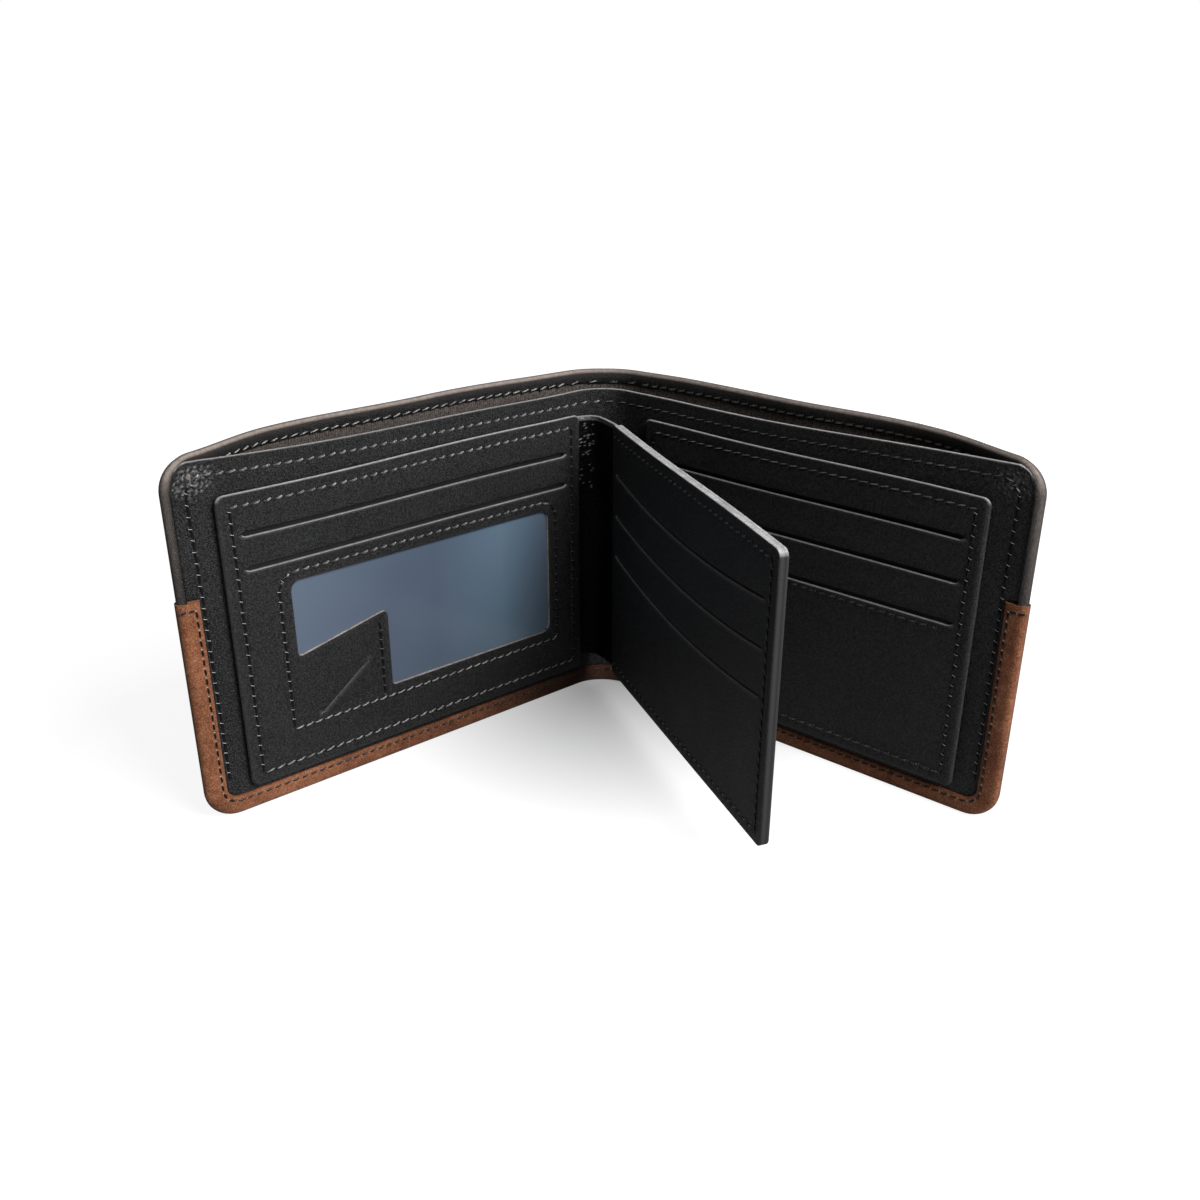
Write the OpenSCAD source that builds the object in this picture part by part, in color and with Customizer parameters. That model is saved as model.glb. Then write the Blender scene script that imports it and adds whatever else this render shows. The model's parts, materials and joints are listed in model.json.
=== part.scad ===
// Bifold card wallet with a flip-out centre leaf, standing open on its bottom edge.
// Units are millimetres. +Z is up, the fold is vertical at the back, and the inside faces -Y.
// The origin is on the ground, at the middle of the wallet's outline.
//
// Each cover panel is drawn once in a panel frame: X runs from the fold axis to the side edge,
// -Y is the inside of the wallet, and Y = 0 is the plane through the fold axis.

/* [Opening] */
// Angle between the two cover panels
opening_angle = 102; // [70:1:140]
// Turn of the centre leaf from the middle of the opening, towards the right panel
leaf_turn = 21; // [-30:1:30]

/* [Cover] */
// Height of the cover
cover_height = 98; // [92:1:120]
// Width of one cover panel, from the fold axis to its side edge
cover_half_width = 127; // [122:1:150]
// Height of the suede band round the lower half
band_height = 62.5; // [30:0.5:75]
// Height by which the band laps over the smooth upper leather
band_lap = 8; // [4:0.5:12]
// Width of the leather turned over along every edge
hem_width = 5.5; // [4:0.5:7]
// Radius of the cover's bottom corners
bottom_corner_radius = 9; // [4:0.5:10]
// Radius of the cover's top corners
top_corner_radius = 8.5; // [3:0.5:10]

/* [Leather] */
// Thickness of the smooth leather of the cover
cover_leather = 1.2; // [0.8:0.1:1.6]
// Thickness of the suede band
band_leather = 1.6; // [1.3:0.1:2]
// Thickness of the smooth leather where it is thinned under the band
skived_leather = 0.6; // [0.3:0.1:0.7]
// Thickness of the inner panel
inner_leather = 1; // [0.6:0.1:1.4]
// Thickness of the leather face of a card pocket panel
pocket_leather = 0.9; // [0.6:0.1:1.2]
// Thickness of the cloth lining of the note compartment
lining_cloth = 0.4; // [0.3:0.1:0.8]

/* [Note compartment] */
// Widest opening of the note compartment at the top of a panel
note_gap = 8; // [5:0.5:12]
// Opening of the note compartment at the top of the fold
note_gap_at_fold = 5; // [3:0.5:8]
// Distance of the inner panel's top edge below the top of the cover, at the fold
inner_drop = 4.2; // [2:0.2:10]
// Height by which the inner panel's top edge rises from the fold to the side seam
inner_rise = 3; // [0:0.5:3]

/* [Pocket panels] */
// Height of the card pocket panels
pocket_height = 80; // [70:1:84]
// Height of the pocket panels' lower edge above the ground
pocket_bottom = 7.5; // [6.5:0.5:10]
// Distance from the fold axis to the outer edge of the pocket panels
pocket_reach = 115; // [108:1:118]
// Distance from the fold axis to the left pocket panel
left_pocket_start = 6.5; // [6:0.5:9]
// Distance from the fold axis to the right pocket panel
right_pocket_start = 13; // [9:0.5:16]
// Radius of the pocket panels' corners
pocket_corner_radius = 1.5; // [1:0.5:5]

/* [Card slots] */
// Width of a card slot cut in the leather
slot_width = 1.3; // [0.8:0.1:2]
// Distance from the end of a slot to the edge of its panel
slot_end_margin = 5.5; // [4.5:0.5:9]
// Number of card slots on the right pocket panel
right_slots = 3; // [1:1:4]
// Distance of the right panel's first slot below the panel's top
right_first_slot = 11.2; // [8:0.2:16]
// Distance between slots on the right panel
right_slot_pitch = 11.4; // [8:0.2:15]
// Number of card slots on the left pocket panel
left_slots = 2; // [1:1:2]
// Distance of the left panel's first slot below the panel's top
left_first_slot = 10.6; // [8:0.2:12]
// Distance between slots on the left panel
left_slot_pitch = 9; // [7:0.2:10]

/* [Identity window] */
// Width of the window
window_width = 80; // [70:1:86]
// Height of the window
window_height = 38; // [30:1:40]
// Distance of the window's inner side from the fold axis
window_start = 18.5; // [16:0.5:22]
// Height of the window's lower edge above the panel's lower edge
window_rise = 16; // [12:0.5:18]
// Radius of the window's corners
window_corner_radius = 3; // [1:0.5:5]
// Width of the leather corner left standing in the window
corner_width = 26.5; // [18:0.5:32]
// Height of that corner at the window's outer side
corner_low = 17; // [8:0.5:20]
// Height of that corner at its tip
corner_high = 23; // [20:0.5:28]
// Thickness of the window film
film_thickness = 0.3; // [0.2:0.05:0.4]

/* [Centre leaf] */
// Height of the leaf
leaf_height = 77; // [68:1:82]
// Height of the leaf's lower edge above the ground
leaf_bottom = 10; // [6.5:0.5:12]
// Distance from the fold axis to the leaf's inner edge
leaf_start = 11; // [10:0.5:14]
// Distance from the fold axis to the leaf's outer edge
leaf_reach = 107.5; // [104:0.5:112]
// Thickness of the leaf
leaf_thickness = 3; // [2.4:0.1:4]
// Thickness of the leaf's two leather faces
leaf_leather = 0.7; // [0.5:0.1:0.8]
// Thickness of the stiffener in the middle of the leaf
leaf_core_thickness = 0.4; // [0.3:0.1:0.6]
// Radius of the leaf's outer corners
leaf_corner_radius = 2; // [1:0.5:4]
// Number of card slots on each face of the leaf
leaf_slots = 3; // [1:1:4]
// Distance of the leaf's first slot below the leaf's top
leaf_first_slot = 13.5; // [9:0.5:18]
// Distance between slots on the leaf
leaf_slot_pitch = 12.3; // [9:0.1:15]
// Sag of each leaf slot at its middle
leaf_slot_sag = 3.6; // [1:0.2:6]
// Thickness of the soft leather strip that hinges the leaf
strip_leather = 0.9; // [0.6:0.1:1.2]

/* [Fit] */
// Gap left on each side of the leaf when the wallet is shut
fold_clearance = 0.3; // [0.2:0.05:0.6]
// Gap between the inner panel and the turned edges round it
seam_gap = 0.2; // [0.1:0.1:0.5]

/* [Hidden] */
$fn = 48;

black = [0.05, 0.05, 0.055];
brown = [0.32, 0.17, 0.1];
cloth = [0.3, 0.27, 0.25];
slate = [0.2, 0.27, 0.34];

eps = 0.01;
half_opening = opening_angle / 2;
fold_turn = 90 - half_opening;          // turn of each panel away from the X axis
fold_start = left_pocket_start - 0.5;   // where the flat panels end and the curved spine begins
fold_depth = fold_start * tan(half_opening);

// Layers of a cover panel, as Y in the panel frame
pocket_front = leaf_thickness / 2 + fold_clearance;
liner_thickness = 0.3;
pocket_layers = 3;
pocket_backing = 0.4;
pocket_liner_front = pocket_front + pocket_leather;
pocket_back_front = pocket_liner_front + pocket_layers * liner_thickness;
inner_front = pocket_back_front + pocket_backing;
inner_back = inner_front + inner_leather;

// Layers behind the inner panel, as offsets from its back face
edge_proud = 0.2;                       // how far the turned side edge stands in front of the inner panel
turned_front = -inner_leather - edge_proud;
leather_front = lining_cloth;
leather_back = leather_front + cover_leather;
band_back = leather_front + band_leather;
tongue_back = leather_front + skived_leather;
top_roll = 0;                           // the top hem lies flush with the lining's face

top_round = 0.45 * (leather_back - top_roll);  // leaves a narrow flat along the top edge
side_hem = cover_half_width - hem_width;      // inner edge of the turned side edge
flat_start = cover_half_width - bottom_corner_radius;
bow_end = flat_start - 2;                     // the cover is flat from here to the side edge
lap_bottom = band_height - band_lap;
top_hem = cover_height - hem_width;
upper_reach = cover_half_width - (band_leather - cover_leather);
band_round = 1;                               // rounding of the band's bottom edge
panel_bays = 10;
spine_bays = 5;
level_step = 12;
step_rise = 1;                                // height over which a cross-section steps in thickness

inner_bottom = hem_width + seam_gap;
inner_top = cover_height - inner_drop;
inner_reach = side_hem - seam_gap;
pocket_top = pocket_bottom + pocket_height;
leaf_top = leaf_bottom + leaf_height;

// The origin is in the middle of the outline of the standing wallet, from the spine to the leaf's tip
back_y = fold_depth + inner_back + leather_back + note_gap_at_fold - norm([fold_start, fold_depth]);
leaf_tip_y = -leaf_reach * cos(leaf_turn) - leaf_thickness / 2 * abs(sin(leaf_turn));
fold_y = -(back_y + leaf_tip_y) / 2;

// ---------- places ----------

module place_right() translate([0, fold_y, 0]) rotate([0, 0, -fold_turn]) children();
module place_left() translate([0, fold_y, 0]) mirror([1, 0, 0]) rotate([0, 0, -fold_turn]) children();
module place_leaf() translate([0, fold_y, 0]) rotate([0, 0, leaf_turn - 90]) children();

// Lays a flat outline, drawn in X and Z, between two depths of the panel frame
module sheet(front, back) translate([0, back, 0]) rotate([90, 0, 0]) linear_extrude(back - front) children();

// ---------- the bowed cover ----------

// How far the cover stands away from the inner panel, at distance s from the fold and height z
function bow(s, z) = bow_across(s) * bow_up(z);
function bow_across(s) =
    let (at_fold = asin(note_gap_at_fold / note_gap), part = min(max(s, 0), bow_end) / bow_end)
    s >= bow_end ? 0 : note_gap * sin(at_fold + (180 - at_fold) * part);
function bow_up(z) = z <= hem_width ? 0 : sin(90 * min(1, (z - hem_width) / (cover_height - hem_width)));

// A point of the cover: s along the leather from the fold, depth behind the inner panel, height z
function cover_point(s, depth, z) =
    let (y = inner_back + depth + bow(s, z))
    s >= fold_start ? [s, y, z] :
    let (turn = fold_turn * (1 - s / fold_start), r = fold_depth + y)
    [fold_start - r * sin(turn), r * cos(turn) - fold_depth, z];

function flip(list) = [for (i = [len(list) - 1 : -1 : 0]) list[i]];
function arc(centre, r, from, to, steps) =
    [for (i = [0 : steps]) let (a = from + (to - from) * i / steps) centre + r * [cos(a), sin(a)]];

// Heights at which every layer of the cover has a row of points, so that layers touch and never cross
levels = concat(
    [for (z = [hem_width : level_step : lap_bottom - level_step / 2]) z],
    [lap_bottom, band_height],
    [for (z = [band_height + level_step : level_step : top_hem - level_step / 2]) z],
    [top_hem]
);
function heights(low, high) =
    concat([low], [for (z = levels) if (z > low + eps && z < high - eps) z], [high]);

// Cross-sections of the cover, as rows of a front and a back point, each [depth, height]
function plain_rows(front, back, low, high) = [for (z = heights(low, high)) [[front, z], [back, z]]];
function rounded_rows(front, back, r, base, angles) = [for (a = angles)
    [[front + r - r * cos(a), base + r * sin(a)], [back - r + r * cos(a), base + r * sin(a)]]];
lining_rows = plain_rows(0, lining_cloth, hem_width, top_hem);
function upper_rows(tongue) = concat(
    tongue ? [[[leather_front, lap_bottom], [tongue_back, lap_bottom]],
        [[leather_front, band_height], [tongue_back, band_height]],
        [[leather_front, band_height + step_rise], [leather_back, band_height]]] : [],
    tongue ? [] : [[[leather_front, band_height], [leather_back, band_height]]],
    [for (z = heights(band_height, top_hem)) if (z > band_height) [[leather_front, z], [leather_back, z]]],
    [[[top_roll, top_hem], [leather_back, top_hem + step_rise]]],
    rounded_rows(top_roll, leather_back, top_round, cover_height - top_round, [0, 30, 60, 90])
);
function band_rows(notch) = concat(
    rounded_rows(turned_front, band_back, band_round, band_round, [-90, -60, -30, 0]),
    [[[turned_front, hem_width], [band_back, hem_width - step_rise]],
        [[leather_front, hem_width], [band_back, hem_width + step_rise]]],
    [for (z = heights(hem_width, lap_bottom)) if (z > hem_width && z < lap_bottom)
        [[leather_front, z], [band_back, z]]],
    notch ? [[[leather_front, lap_bottom], [band_back, lap_bottom - step_rise]],
        [[tongue_back, lap_bottom], [band_back, lap_bottom + step_rise]],
        [[tongue_back, band_height], [band_back, band_height]]]
        : [[[leather_front, band_height], [band_back, band_height]]]
);

// Twice the area of a triangle in a cross-section, positive where its corners turn anticlockwise
function twice_area(a, b, c) = (b.x - a.x) * (c.y - a.y) - (c.x - a.x) * (b.y - a.y);

// Stretches a cross-section along the cover, through the given distances from the fold
module cover_loft(rows, stations) {
    n = len(rows);
    m = len(stations);
    points = [for (s = stations) for (row = rows) for (p = row) cover_point(s, p.x, p.y)];
    function front(i, j) = 2 * (i * n + j);
    function back(i, j) = front(i, j) + 1;
    skin = [for (i = [0 : m - 2]) for (j = [0 : n - 2]) each [
        [front(i, j), front(i, j + 1), front(i + 1, j + 1)],
        [front(i, j), front(i + 1, j + 1), front(i + 1, j)],
        [back(i, j), back(i + 1, j + 1), back(i, j + 1)],
        [back(i, j), back(i + 1, j), back(i + 1, j + 1)]
    ]];
    edges = [for (i = [0 : m - 2]) each [
        [front(i, 0), front(i + 1, 0), back(i + 1, 0)], [front(i, 0), back(i + 1, 0), back(i, 0)],
        [front(i, n - 1), back(i + 1, n - 1), front(i + 1, n - 1)],
        [front(i, n - 1), back(i, n - 1), back(i + 1, n - 1)]
    ]];
    ends = [for (j = [0 : n - 2])
        let (low = rows[j], high = rows[j + 1],
            sound = min(twice_area(low[1], high[1], low[0]), twice_area(high[1], high[0], low[0])) > eps)
        each [
            sound ? [back(0, j), back(0, j + 1), front(0, j)]
                : [back(0, j), back(0, j + 1), front(0, j + 1)],
            sound ? [back(0, j + 1), front(0, j + 1), front(0, j)]
                : [back(0, j), front(0, j + 1), front(0, j)],
            sound ? [back(m - 1, j), front(m - 1, j), back(m - 1, j + 1)]
                : [back(m - 1, j), front(m - 1, j + 1), back(m - 1, j + 1)],
            sound ? [back(m - 1, j + 1), front(m - 1, j), front(m - 1, j + 1)]
                : [back(m - 1, j), front(m - 1, j), front(m - 1, j + 1)]
        ]];
    polyhedron(points, concat(skin, edges, ends), convexity = 6);
}

panel_stations = concat(
    [for (i = [0 : panel_bays]) fold_start + (bow_end - fold_start) * i / panel_bays],
    [flat_start]
);
spine_stations = [for (i = [0 : spine_bays]) fold_start * i / spine_bays];

// The leather turned over the side edge: a rolled edge of the given back face, between two heights
function roll_radius(back) = (back - turned_front) / 2;
module side_roll(back, reach, low, high) {
    r = roll_radius(back);
    translate([0, 0, low]) linear_extrude(high - low) {
        translate([side_hem, inner_back + turned_front]) square([reach - r - side_hem, 2 * r]);
        translate([reach - r, inner_back + turned_front + r]) circle(r);
    }
}

// The outline of a cover panel, with one rounded corner at the bottom and one at the top. It stands
// a little outside the edges, so that it cuts only the corners and never grazes an edge.
outline_margin = 0.1;
module cover_outline(reach) {
    side = reach + outline_margin;
    top = cover_height + outline_margin;
    bottom_centre = [side - bottom_corner_radius, bottom_corner_radius - outline_margin];
    top_centre = [side - top_corner_radius, top - top_corner_radius];
    sheet(0, 2 * inner_back + band_back) {
        translate([0, -outline_margin]) square([bottom_centre.x, cover_height / 2]);
        translate([0, cover_height / 3]) square([top_centre.x, top - cover_height / 3]);
        translate([0, bottom_centre.y]) square([side, top_centre.y - bottom_centre.y]);
        translate(bottom_centre) circle(bottom_corner_radius);
        translate(top_centre) circle(top_corner_radius);
    }
}

module cover_upper() color(black) {
    cover_loft(upper_rows(true), panel_stations);
    intersection() {
        union() {
            cover_loft(upper_rows(false), [flat_start, upper_reach - roll_radius(leather_back)]);
            side_roll(leather_back, upper_reach, band_height, cover_height);
        }
        cover_outline(upper_reach);
    }
}

module cover_band() color(brown) {
    cover_loft(band_rows(true), panel_stations);
    intersection() {
        union() {
            cover_loft(band_rows(false), [flat_start, cover_half_width - roll_radius(band_back)]);
            side_roll(band_back, cover_half_width, 0, band_height);
        }
        cover_outline(cover_half_width);
    }
}

module cover_lining() color(cloth) cover_loft(lining_rows, concat(panel_stations, [side_hem]));

module inner_panel() color(black) sheet(inner_front, inner_back) inner_outline();

// The inner panel: its top edge rises in a shallow curve to the side seam
module inner_outline() {
    steps = 10;
    width = inner_reach - fold_start;
    r = top_corner_radius - seam_gap;
    polygon(concat(
        [[fold_start, inner_bottom], [inner_reach, inner_bottom]],
        arc([inner_reach - r, inner_top + inner_rise - r], r, 0, 80, 5),
        [for (i = [steps - 1 : -1 : 0])
            let (part = i / steps) [fold_start + width * part, inner_top + inner_rise * part * part]]
    ));
}

// ---------- the spine: the same layers carried round the fold ----------

module spine_cover() color(black) cover_loft(upper_rows(true), spine_stations);
module spine_band() color(brown) cover_loft(band_rows(true), spine_stations);
module spine_lining() color(cloth) cover_loft(lining_rows, spine_stations);

module spine_inner() color(black)
    translate([fold_start, -fold_depth, inner_bottom]) linear_extrude(inner_top - inner_bottom)
        intersection() {
            difference() {
                circle(fold_depth + inner_back);
                circle(fold_depth + inner_front);
            }
            wedge(90, 90 + fold_turn, 2 * (fold_depth + inner_back));
        }

// A triangular sector between two angles less than 90 degrees apart
module wedge(from, to, reach) polygon([[0, 0], reach * [cos(from), sin(from)], reach * [cos(to), sin(to)]]);

// ---------- outlines of the pocket panels ----------

module rounded_rectangle(low, high, r) {
    translate(low + [r, 0]) square(high - low - [2 * r, 0]);
    translate(low + [0, r]) square(high - low - [0, 2 * r]);
    for (x = [low.x + r, high.x - r]) for (z = [low.y + r, high.y - r]) translate([x, z]) circle(r);
}

module straight_slot(from, to, z) {
    r = slot_width / 2;
    translate([from + r, z - r]) square([to - from - slot_width, slot_width]);
    for (x = [from + r, to - r]) translate([x, z]) circle(r);
}

slot_stop = 0.1;                        // how much wider a sagging slot is punched at its ends
// A slot that hangs in a shallow curve between two ends of equal height
module sagging_slot(from, to, z, sag) {
    half = (to - from) / 2;
    r = (half * half + sag * sag) / (2 * sag);
    centre = [(from + to) / 2, z - sag + r];
    reach = asin(half / r);
    intersection() {
        translate(centre) difference() {
            circle(r + slot_width / 2, $fn = 360);
            circle(r - slot_width / 2, $fn = 360);
        }
        translate(centre) wedge(270 - reach, 270 + reach, 2 * r);
    }
    for (x = [from, to]) translate([x, z]) circle(slot_width / 2 + slot_stop);
}

function slot_height(top, first, pitch, i) = top - first - pitch * (i - 1);

// ---------- left pocket panel ----------

left_slot_from = left_pocket_start + slot_end_margin;
left_slot_to = pocket_reach - slot_end_margin;
function left_slot_height(i) = slot_height(pocket_top, left_first_slot, left_slot_pitch, i);
window_end = window_start + window_width;
window_bottom = pocket_bottom + window_rise;
window_top = window_bottom + window_height;

// The window: a rounded opening with a leather corner left standing at its lower outer side
module window_outline() difference() {
    rounded_rectangle([window_start, window_bottom], [window_end, window_top], window_corner_radius);
    window_corner();
}

// The standing corner, with a slanted top and a rounded tip
module window_corner() {
    corner_start = window_end - corner_width;
    lean = atan((corner_high - corner_low) / corner_width);
    r = window_corner_radius / 2;
    tip = [corner_start + r, window_bottom + corner_high - r * tan(lean) - r / cos(lean)];
    translate(tip) circle(r);
    polygon([
        [corner_start, window_bottom - r], tip - [r, 0], tip + r * [sin(lean), cos(lean)],
        [window_end + r, window_bottom + corner_low - r * tan(lean)], [window_end + r, window_bottom - r]
    ]);
}

chip_slit_width = 0.6;
// Slanted slit in the standing corner, for a small chip card
module chip_slit() {
    low = [window_end - corner_width * 0.17, window_bottom - 1.5];
    high = [window_end - corner_width * 0.76, window_bottom + corner_high * 0.45];
    along = high - low;
    translate(low) rotate(atan2(along.y, along.x)) translate([0, -chip_slit_width / 2])
        square([norm(along), chip_slit_width]);
}

// The outline of a pocket panel that starts at the given distance from the fold axis
module pocket_outline(start)
    rounded_rectangle([start, pocket_bottom], [pocket_reach, pocket_top], pocket_corner_radius);

module left_pocket_face() color(black) difference() {
    sheet(pocket_front, pocket_liner_front) pocket_outline(left_pocket_start);
    sheet(pocket_front - 1, pocket_liner_front + 1) {
        for (i = [1 : left_slots]) straight_slot(left_slot_from, left_slot_to, left_slot_height(i));
        chip_slit();
    }
    sheet(pocket_front - 1, pocket_liner_front + 1) window_outline();
}

window_hem = 3.5;                       // how far the film reaches behind the leather round the window
module id_window_film() color(slate)
    sheet(pocket_liner_front, pocket_liner_front + film_thickness)
        translate([window_start - window_hem, window_bottom - window_hem])
            square([window_width + 2 * window_hem, window_height + 2 * window_hem]);

slot_cover = 2;                         // how far a liner reaches past its slot, above and at the ends
liner_lift = 2;                         // height of the liners' lower edge above the panel's lower edge

// A cloth sheet that hangs behind one slot, in the given layer behind the leather face
module liner(layer, from, to, low, slot_z) color(cloth)
    sheet(pocket_liner_front + layer * liner_thickness, pocket_liner_front + (layer + 1) * liner_thickness)
        translate([from - slot_cover, low + liner_lift])
            square([to - from + 2 * slot_cover, slot_z + slot_cover - low - liner_lift]);

module left_pocket_liner(i)
    liner(pocket_layers - i, left_slot_from, left_slot_to, pocket_bottom, left_slot_height(i));

module left_pocket_back() color(cloth)
    sheet(pocket_back_front, inner_front) pocket_outline(left_pocket_start);

// ---------- right pocket panel ----------

right_slot_from = right_pocket_start + slot_end_margin;
right_slot_to = pocket_reach - slot_end_margin;
function right_slot_height(i) = slot_height(pocket_top, right_first_slot, right_slot_pitch, i);

module right_pocket_face() color(black) difference() {
    sheet(pocket_front, pocket_liner_front) pocket_outline(right_pocket_start);
    sheet(pocket_front - 1, pocket_liner_front + 1)
        for (i = [1 : right_slots]) straight_slot(right_slot_from, right_slot_to, right_slot_height(i));
}

module right_pocket_liner(i)
    liner(right_slots - i, right_slot_from, right_slot_to, pocket_bottom, right_slot_height(i));

module right_pocket_back() color(cloth)
    sheet(pocket_back_front, inner_front) pocket_outline(right_pocket_start);

// ---------- centre leaf: its frame has X along the leaf and Y through its thickness ----------

leaf_slot_from = leaf_start + slot_end_margin / 2;
leaf_slot_to = leaf_reach - slot_end_margin;
leaf_liner_thickness = (leaf_thickness / 2 - leaf_leather - leaf_core_thickness / 2) / leaf_slots;
function leaf_slot_height(i) = slot_height(leaf_top, leaf_first_slot, leaf_slot_pitch, i);

// Puts a layer of the leaf on its left side (-1) or its right side (+1)
module leaf_side(side) mirror([0, side < 0 ? 1 : 0, 0]) children();

module leaf_outline()
    rounded_rectangle([leaf_start, leaf_bottom], [leaf_reach, leaf_top], leaf_corner_radius);

module leaf_face(side) color(black) leaf_side(side)
    difference() {
        sheet(leaf_thickness / 2 - leaf_leather, leaf_thickness / 2) leaf_outline();
        sheet(0, leaf_thickness) for (i = [1 : leaf_slots])
            sagging_slot(leaf_slot_from, leaf_slot_to, leaf_slot_height(i), leaf_slot_sag);
    }

module leaf_liner(side, i) color(cloth) leaf_side(side) {
    front = leaf_core_thickness / 2 + (i - 1) * leaf_liner_thickness;
    sheet(front, front + leaf_liner_thickness)
        translate([leaf_slot_from - slot_cover, leaf_bottom + liner_lift])
            square([leaf_slot_to - leaf_slot_from + 2 * slot_cover,
                leaf_slot_height(i) + slot_cover - leaf_bottom - liner_lift]);
}

module leaf_core() color(cloth) sheet(-leaf_core_thickness / 2, leaf_core_thickness / 2) leaf_outline();

// ---------- soft strip between the left pocket panel and the leaf ----------

leaf_opening = half_opening + leaf_turn;        // angle between the left panel and the leaf
strip_inset = 1.5;                              // how far the strip's ends stop short of top and bottom

// A curved strip from the left pocket panel's edge to the leaf's inner edge
module leaf_hinge_strip() {
    start = [left_pocket_start, pocket_front + pocket_leather];
    finish = leaf_start * [cos(leaf_opening), -sin(leaf_opening)];
    bulge = [-start.y / tan(leaf_opening), start.y];        // both ends meet their panels squarely
    steps = 8;
    path = [for (i = [0 : steps])
        let (t = i / steps) (1 - t) * (1 - t) * start + 2 * t * (1 - t) * bulge + t * t * finish];
    across = [for (i = [0 : steps])
        let (t = i / steps, along = (1 - t) * (bulge - start) + t * (finish - bulge))
        [along.y, -along.x] / norm(along) * strip_leather / 2];
    color(black) translate([0, 0, leaf_bottom + strip_inset])
        linear_extrude(leaf_height - 2 * strip_inset)
            polygon(concat(path + across, flip(path - across)));
}

// ---------- assembly ----------

place_left() cover_upper();  // cover_upper_left
place_left() cover_band();  // cover_band_left
place_left() cover_lining();  // cover_lining_left
place_left() inner_panel();  // inner_panel_left
place_left() left_pocket_face();
place_left() left_pocket_liner(1);  // left_pocket_liner_1
place_left() left_pocket_liner(2);  // left_pocket_liner_2
place_left() id_window_film();
place_left() left_pocket_back();

place_right() cover_upper();  // cover_upper_right
place_right() cover_band();  // cover_band_right
place_right() cover_lining();  // cover_lining_right
place_right() inner_panel();  // inner_panel_right
place_right() right_pocket_face();
place_right() right_pocket_liner(1);  // right_pocket_liner_1
place_right() right_pocket_liner(2);  // right_pocket_liner_2
place_right() right_pocket_liner(3);  // right_pocket_liner_3
place_right() right_pocket_back();

place_leaf() leaf_face(-1);  // leaf_face_left
place_leaf() leaf_liner(-1, 1);  // leaf_liner_left_1
place_leaf() leaf_liner(-1, 2);  // leaf_liner_left_2
place_leaf() leaf_liner(-1, 3);  // leaf_liner_left_3
place_leaf() leaf_core();
place_leaf() leaf_liner(1, 1);  // leaf_liner_right_1
place_leaf() leaf_liner(1, 2);  // leaf_liner_right_2
place_leaf() leaf_liner(1, 3);  // leaf_liner_right_3
place_leaf() leaf_face(1);  // leaf_face_right
place_left() leaf_hinge_strip();

place_left() spine_cover();  // spine_cover_left
place_left() spine_band();  // spine_band_left
place_left() spine_lining();  // spine_lining_left
place_left() spine_inner();  // spine_inner_left
place_right() spine_cover();  // spine_cover_right
place_right() spine_band();  // spine_band_right
place_right() spine_lining();  // spine_lining_right
place_right() spine_inner();  // spine_inner_right
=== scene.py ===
"""Dresses the bifold card wallet: leather, suede, cloth, film, stitching and a soft studio."""

import json
import logging
import math
from collections.abc import Callable, Iterable, Sequence
from dataclasses import dataclass, field
from enum import Enum

import bmesh
import bpy
import numpy as np
from mathutils import Matrix, Vector
from mathutils.geometry import delaunay_2d_cdt


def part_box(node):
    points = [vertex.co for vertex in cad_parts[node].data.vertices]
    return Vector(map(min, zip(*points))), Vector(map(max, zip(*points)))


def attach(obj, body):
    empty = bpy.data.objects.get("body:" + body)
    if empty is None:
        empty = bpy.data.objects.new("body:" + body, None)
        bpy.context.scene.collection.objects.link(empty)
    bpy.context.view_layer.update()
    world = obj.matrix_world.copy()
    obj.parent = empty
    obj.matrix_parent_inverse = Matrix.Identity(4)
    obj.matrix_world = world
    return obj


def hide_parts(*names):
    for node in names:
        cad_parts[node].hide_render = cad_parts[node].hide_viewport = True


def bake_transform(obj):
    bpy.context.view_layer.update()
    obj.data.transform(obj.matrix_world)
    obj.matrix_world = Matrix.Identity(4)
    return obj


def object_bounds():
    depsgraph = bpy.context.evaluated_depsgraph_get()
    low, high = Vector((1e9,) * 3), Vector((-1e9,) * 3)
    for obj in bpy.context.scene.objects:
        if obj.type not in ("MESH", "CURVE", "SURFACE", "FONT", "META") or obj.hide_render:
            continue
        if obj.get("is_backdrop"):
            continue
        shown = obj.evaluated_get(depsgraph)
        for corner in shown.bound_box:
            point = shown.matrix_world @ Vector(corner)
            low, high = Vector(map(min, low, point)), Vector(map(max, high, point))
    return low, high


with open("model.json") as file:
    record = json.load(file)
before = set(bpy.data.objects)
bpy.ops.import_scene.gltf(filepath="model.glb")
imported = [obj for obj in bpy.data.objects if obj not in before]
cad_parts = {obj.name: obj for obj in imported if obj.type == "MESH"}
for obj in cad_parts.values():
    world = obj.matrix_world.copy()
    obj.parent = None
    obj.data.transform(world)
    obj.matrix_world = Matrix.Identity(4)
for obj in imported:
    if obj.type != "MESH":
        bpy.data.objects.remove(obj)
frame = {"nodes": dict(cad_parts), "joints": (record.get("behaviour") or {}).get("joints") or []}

log = logging.getLogger("wallet")
MM = 0.001
FOLD_STEP = 0.9 * MM  # mesh step where the leather bends at the fold
COVER_STEP = 2.2 * MM  # mesh step of the cover's leather
EDGE_STEP = 1.5 * MM  # mesh step along the cover's edges
BACK_COARSER = 1.6  # how much coarser a plate's hidden back is meshed than its front
EDGE_CLEAR = 0.3 * MM  # how far mesh points keep from an outline
TOUCHING = 1e-6  # points closer than this are one
SHARP_DEGREES = 50  # faces that meet more steeply keep a sharp edge
LINERS = (1, 2, 3)  # the numbers of a panel's pocket liners, from the top slot down
LINER_RISE = 2 * MM  # how far a liner stands up behind its slot
Array = np.ndarray
Pair = tuple[float, float]
Socket = bpy.types.NodeSocket
Colour = tuple[float, float, float]
Place = tuple[float, float, float]


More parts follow.
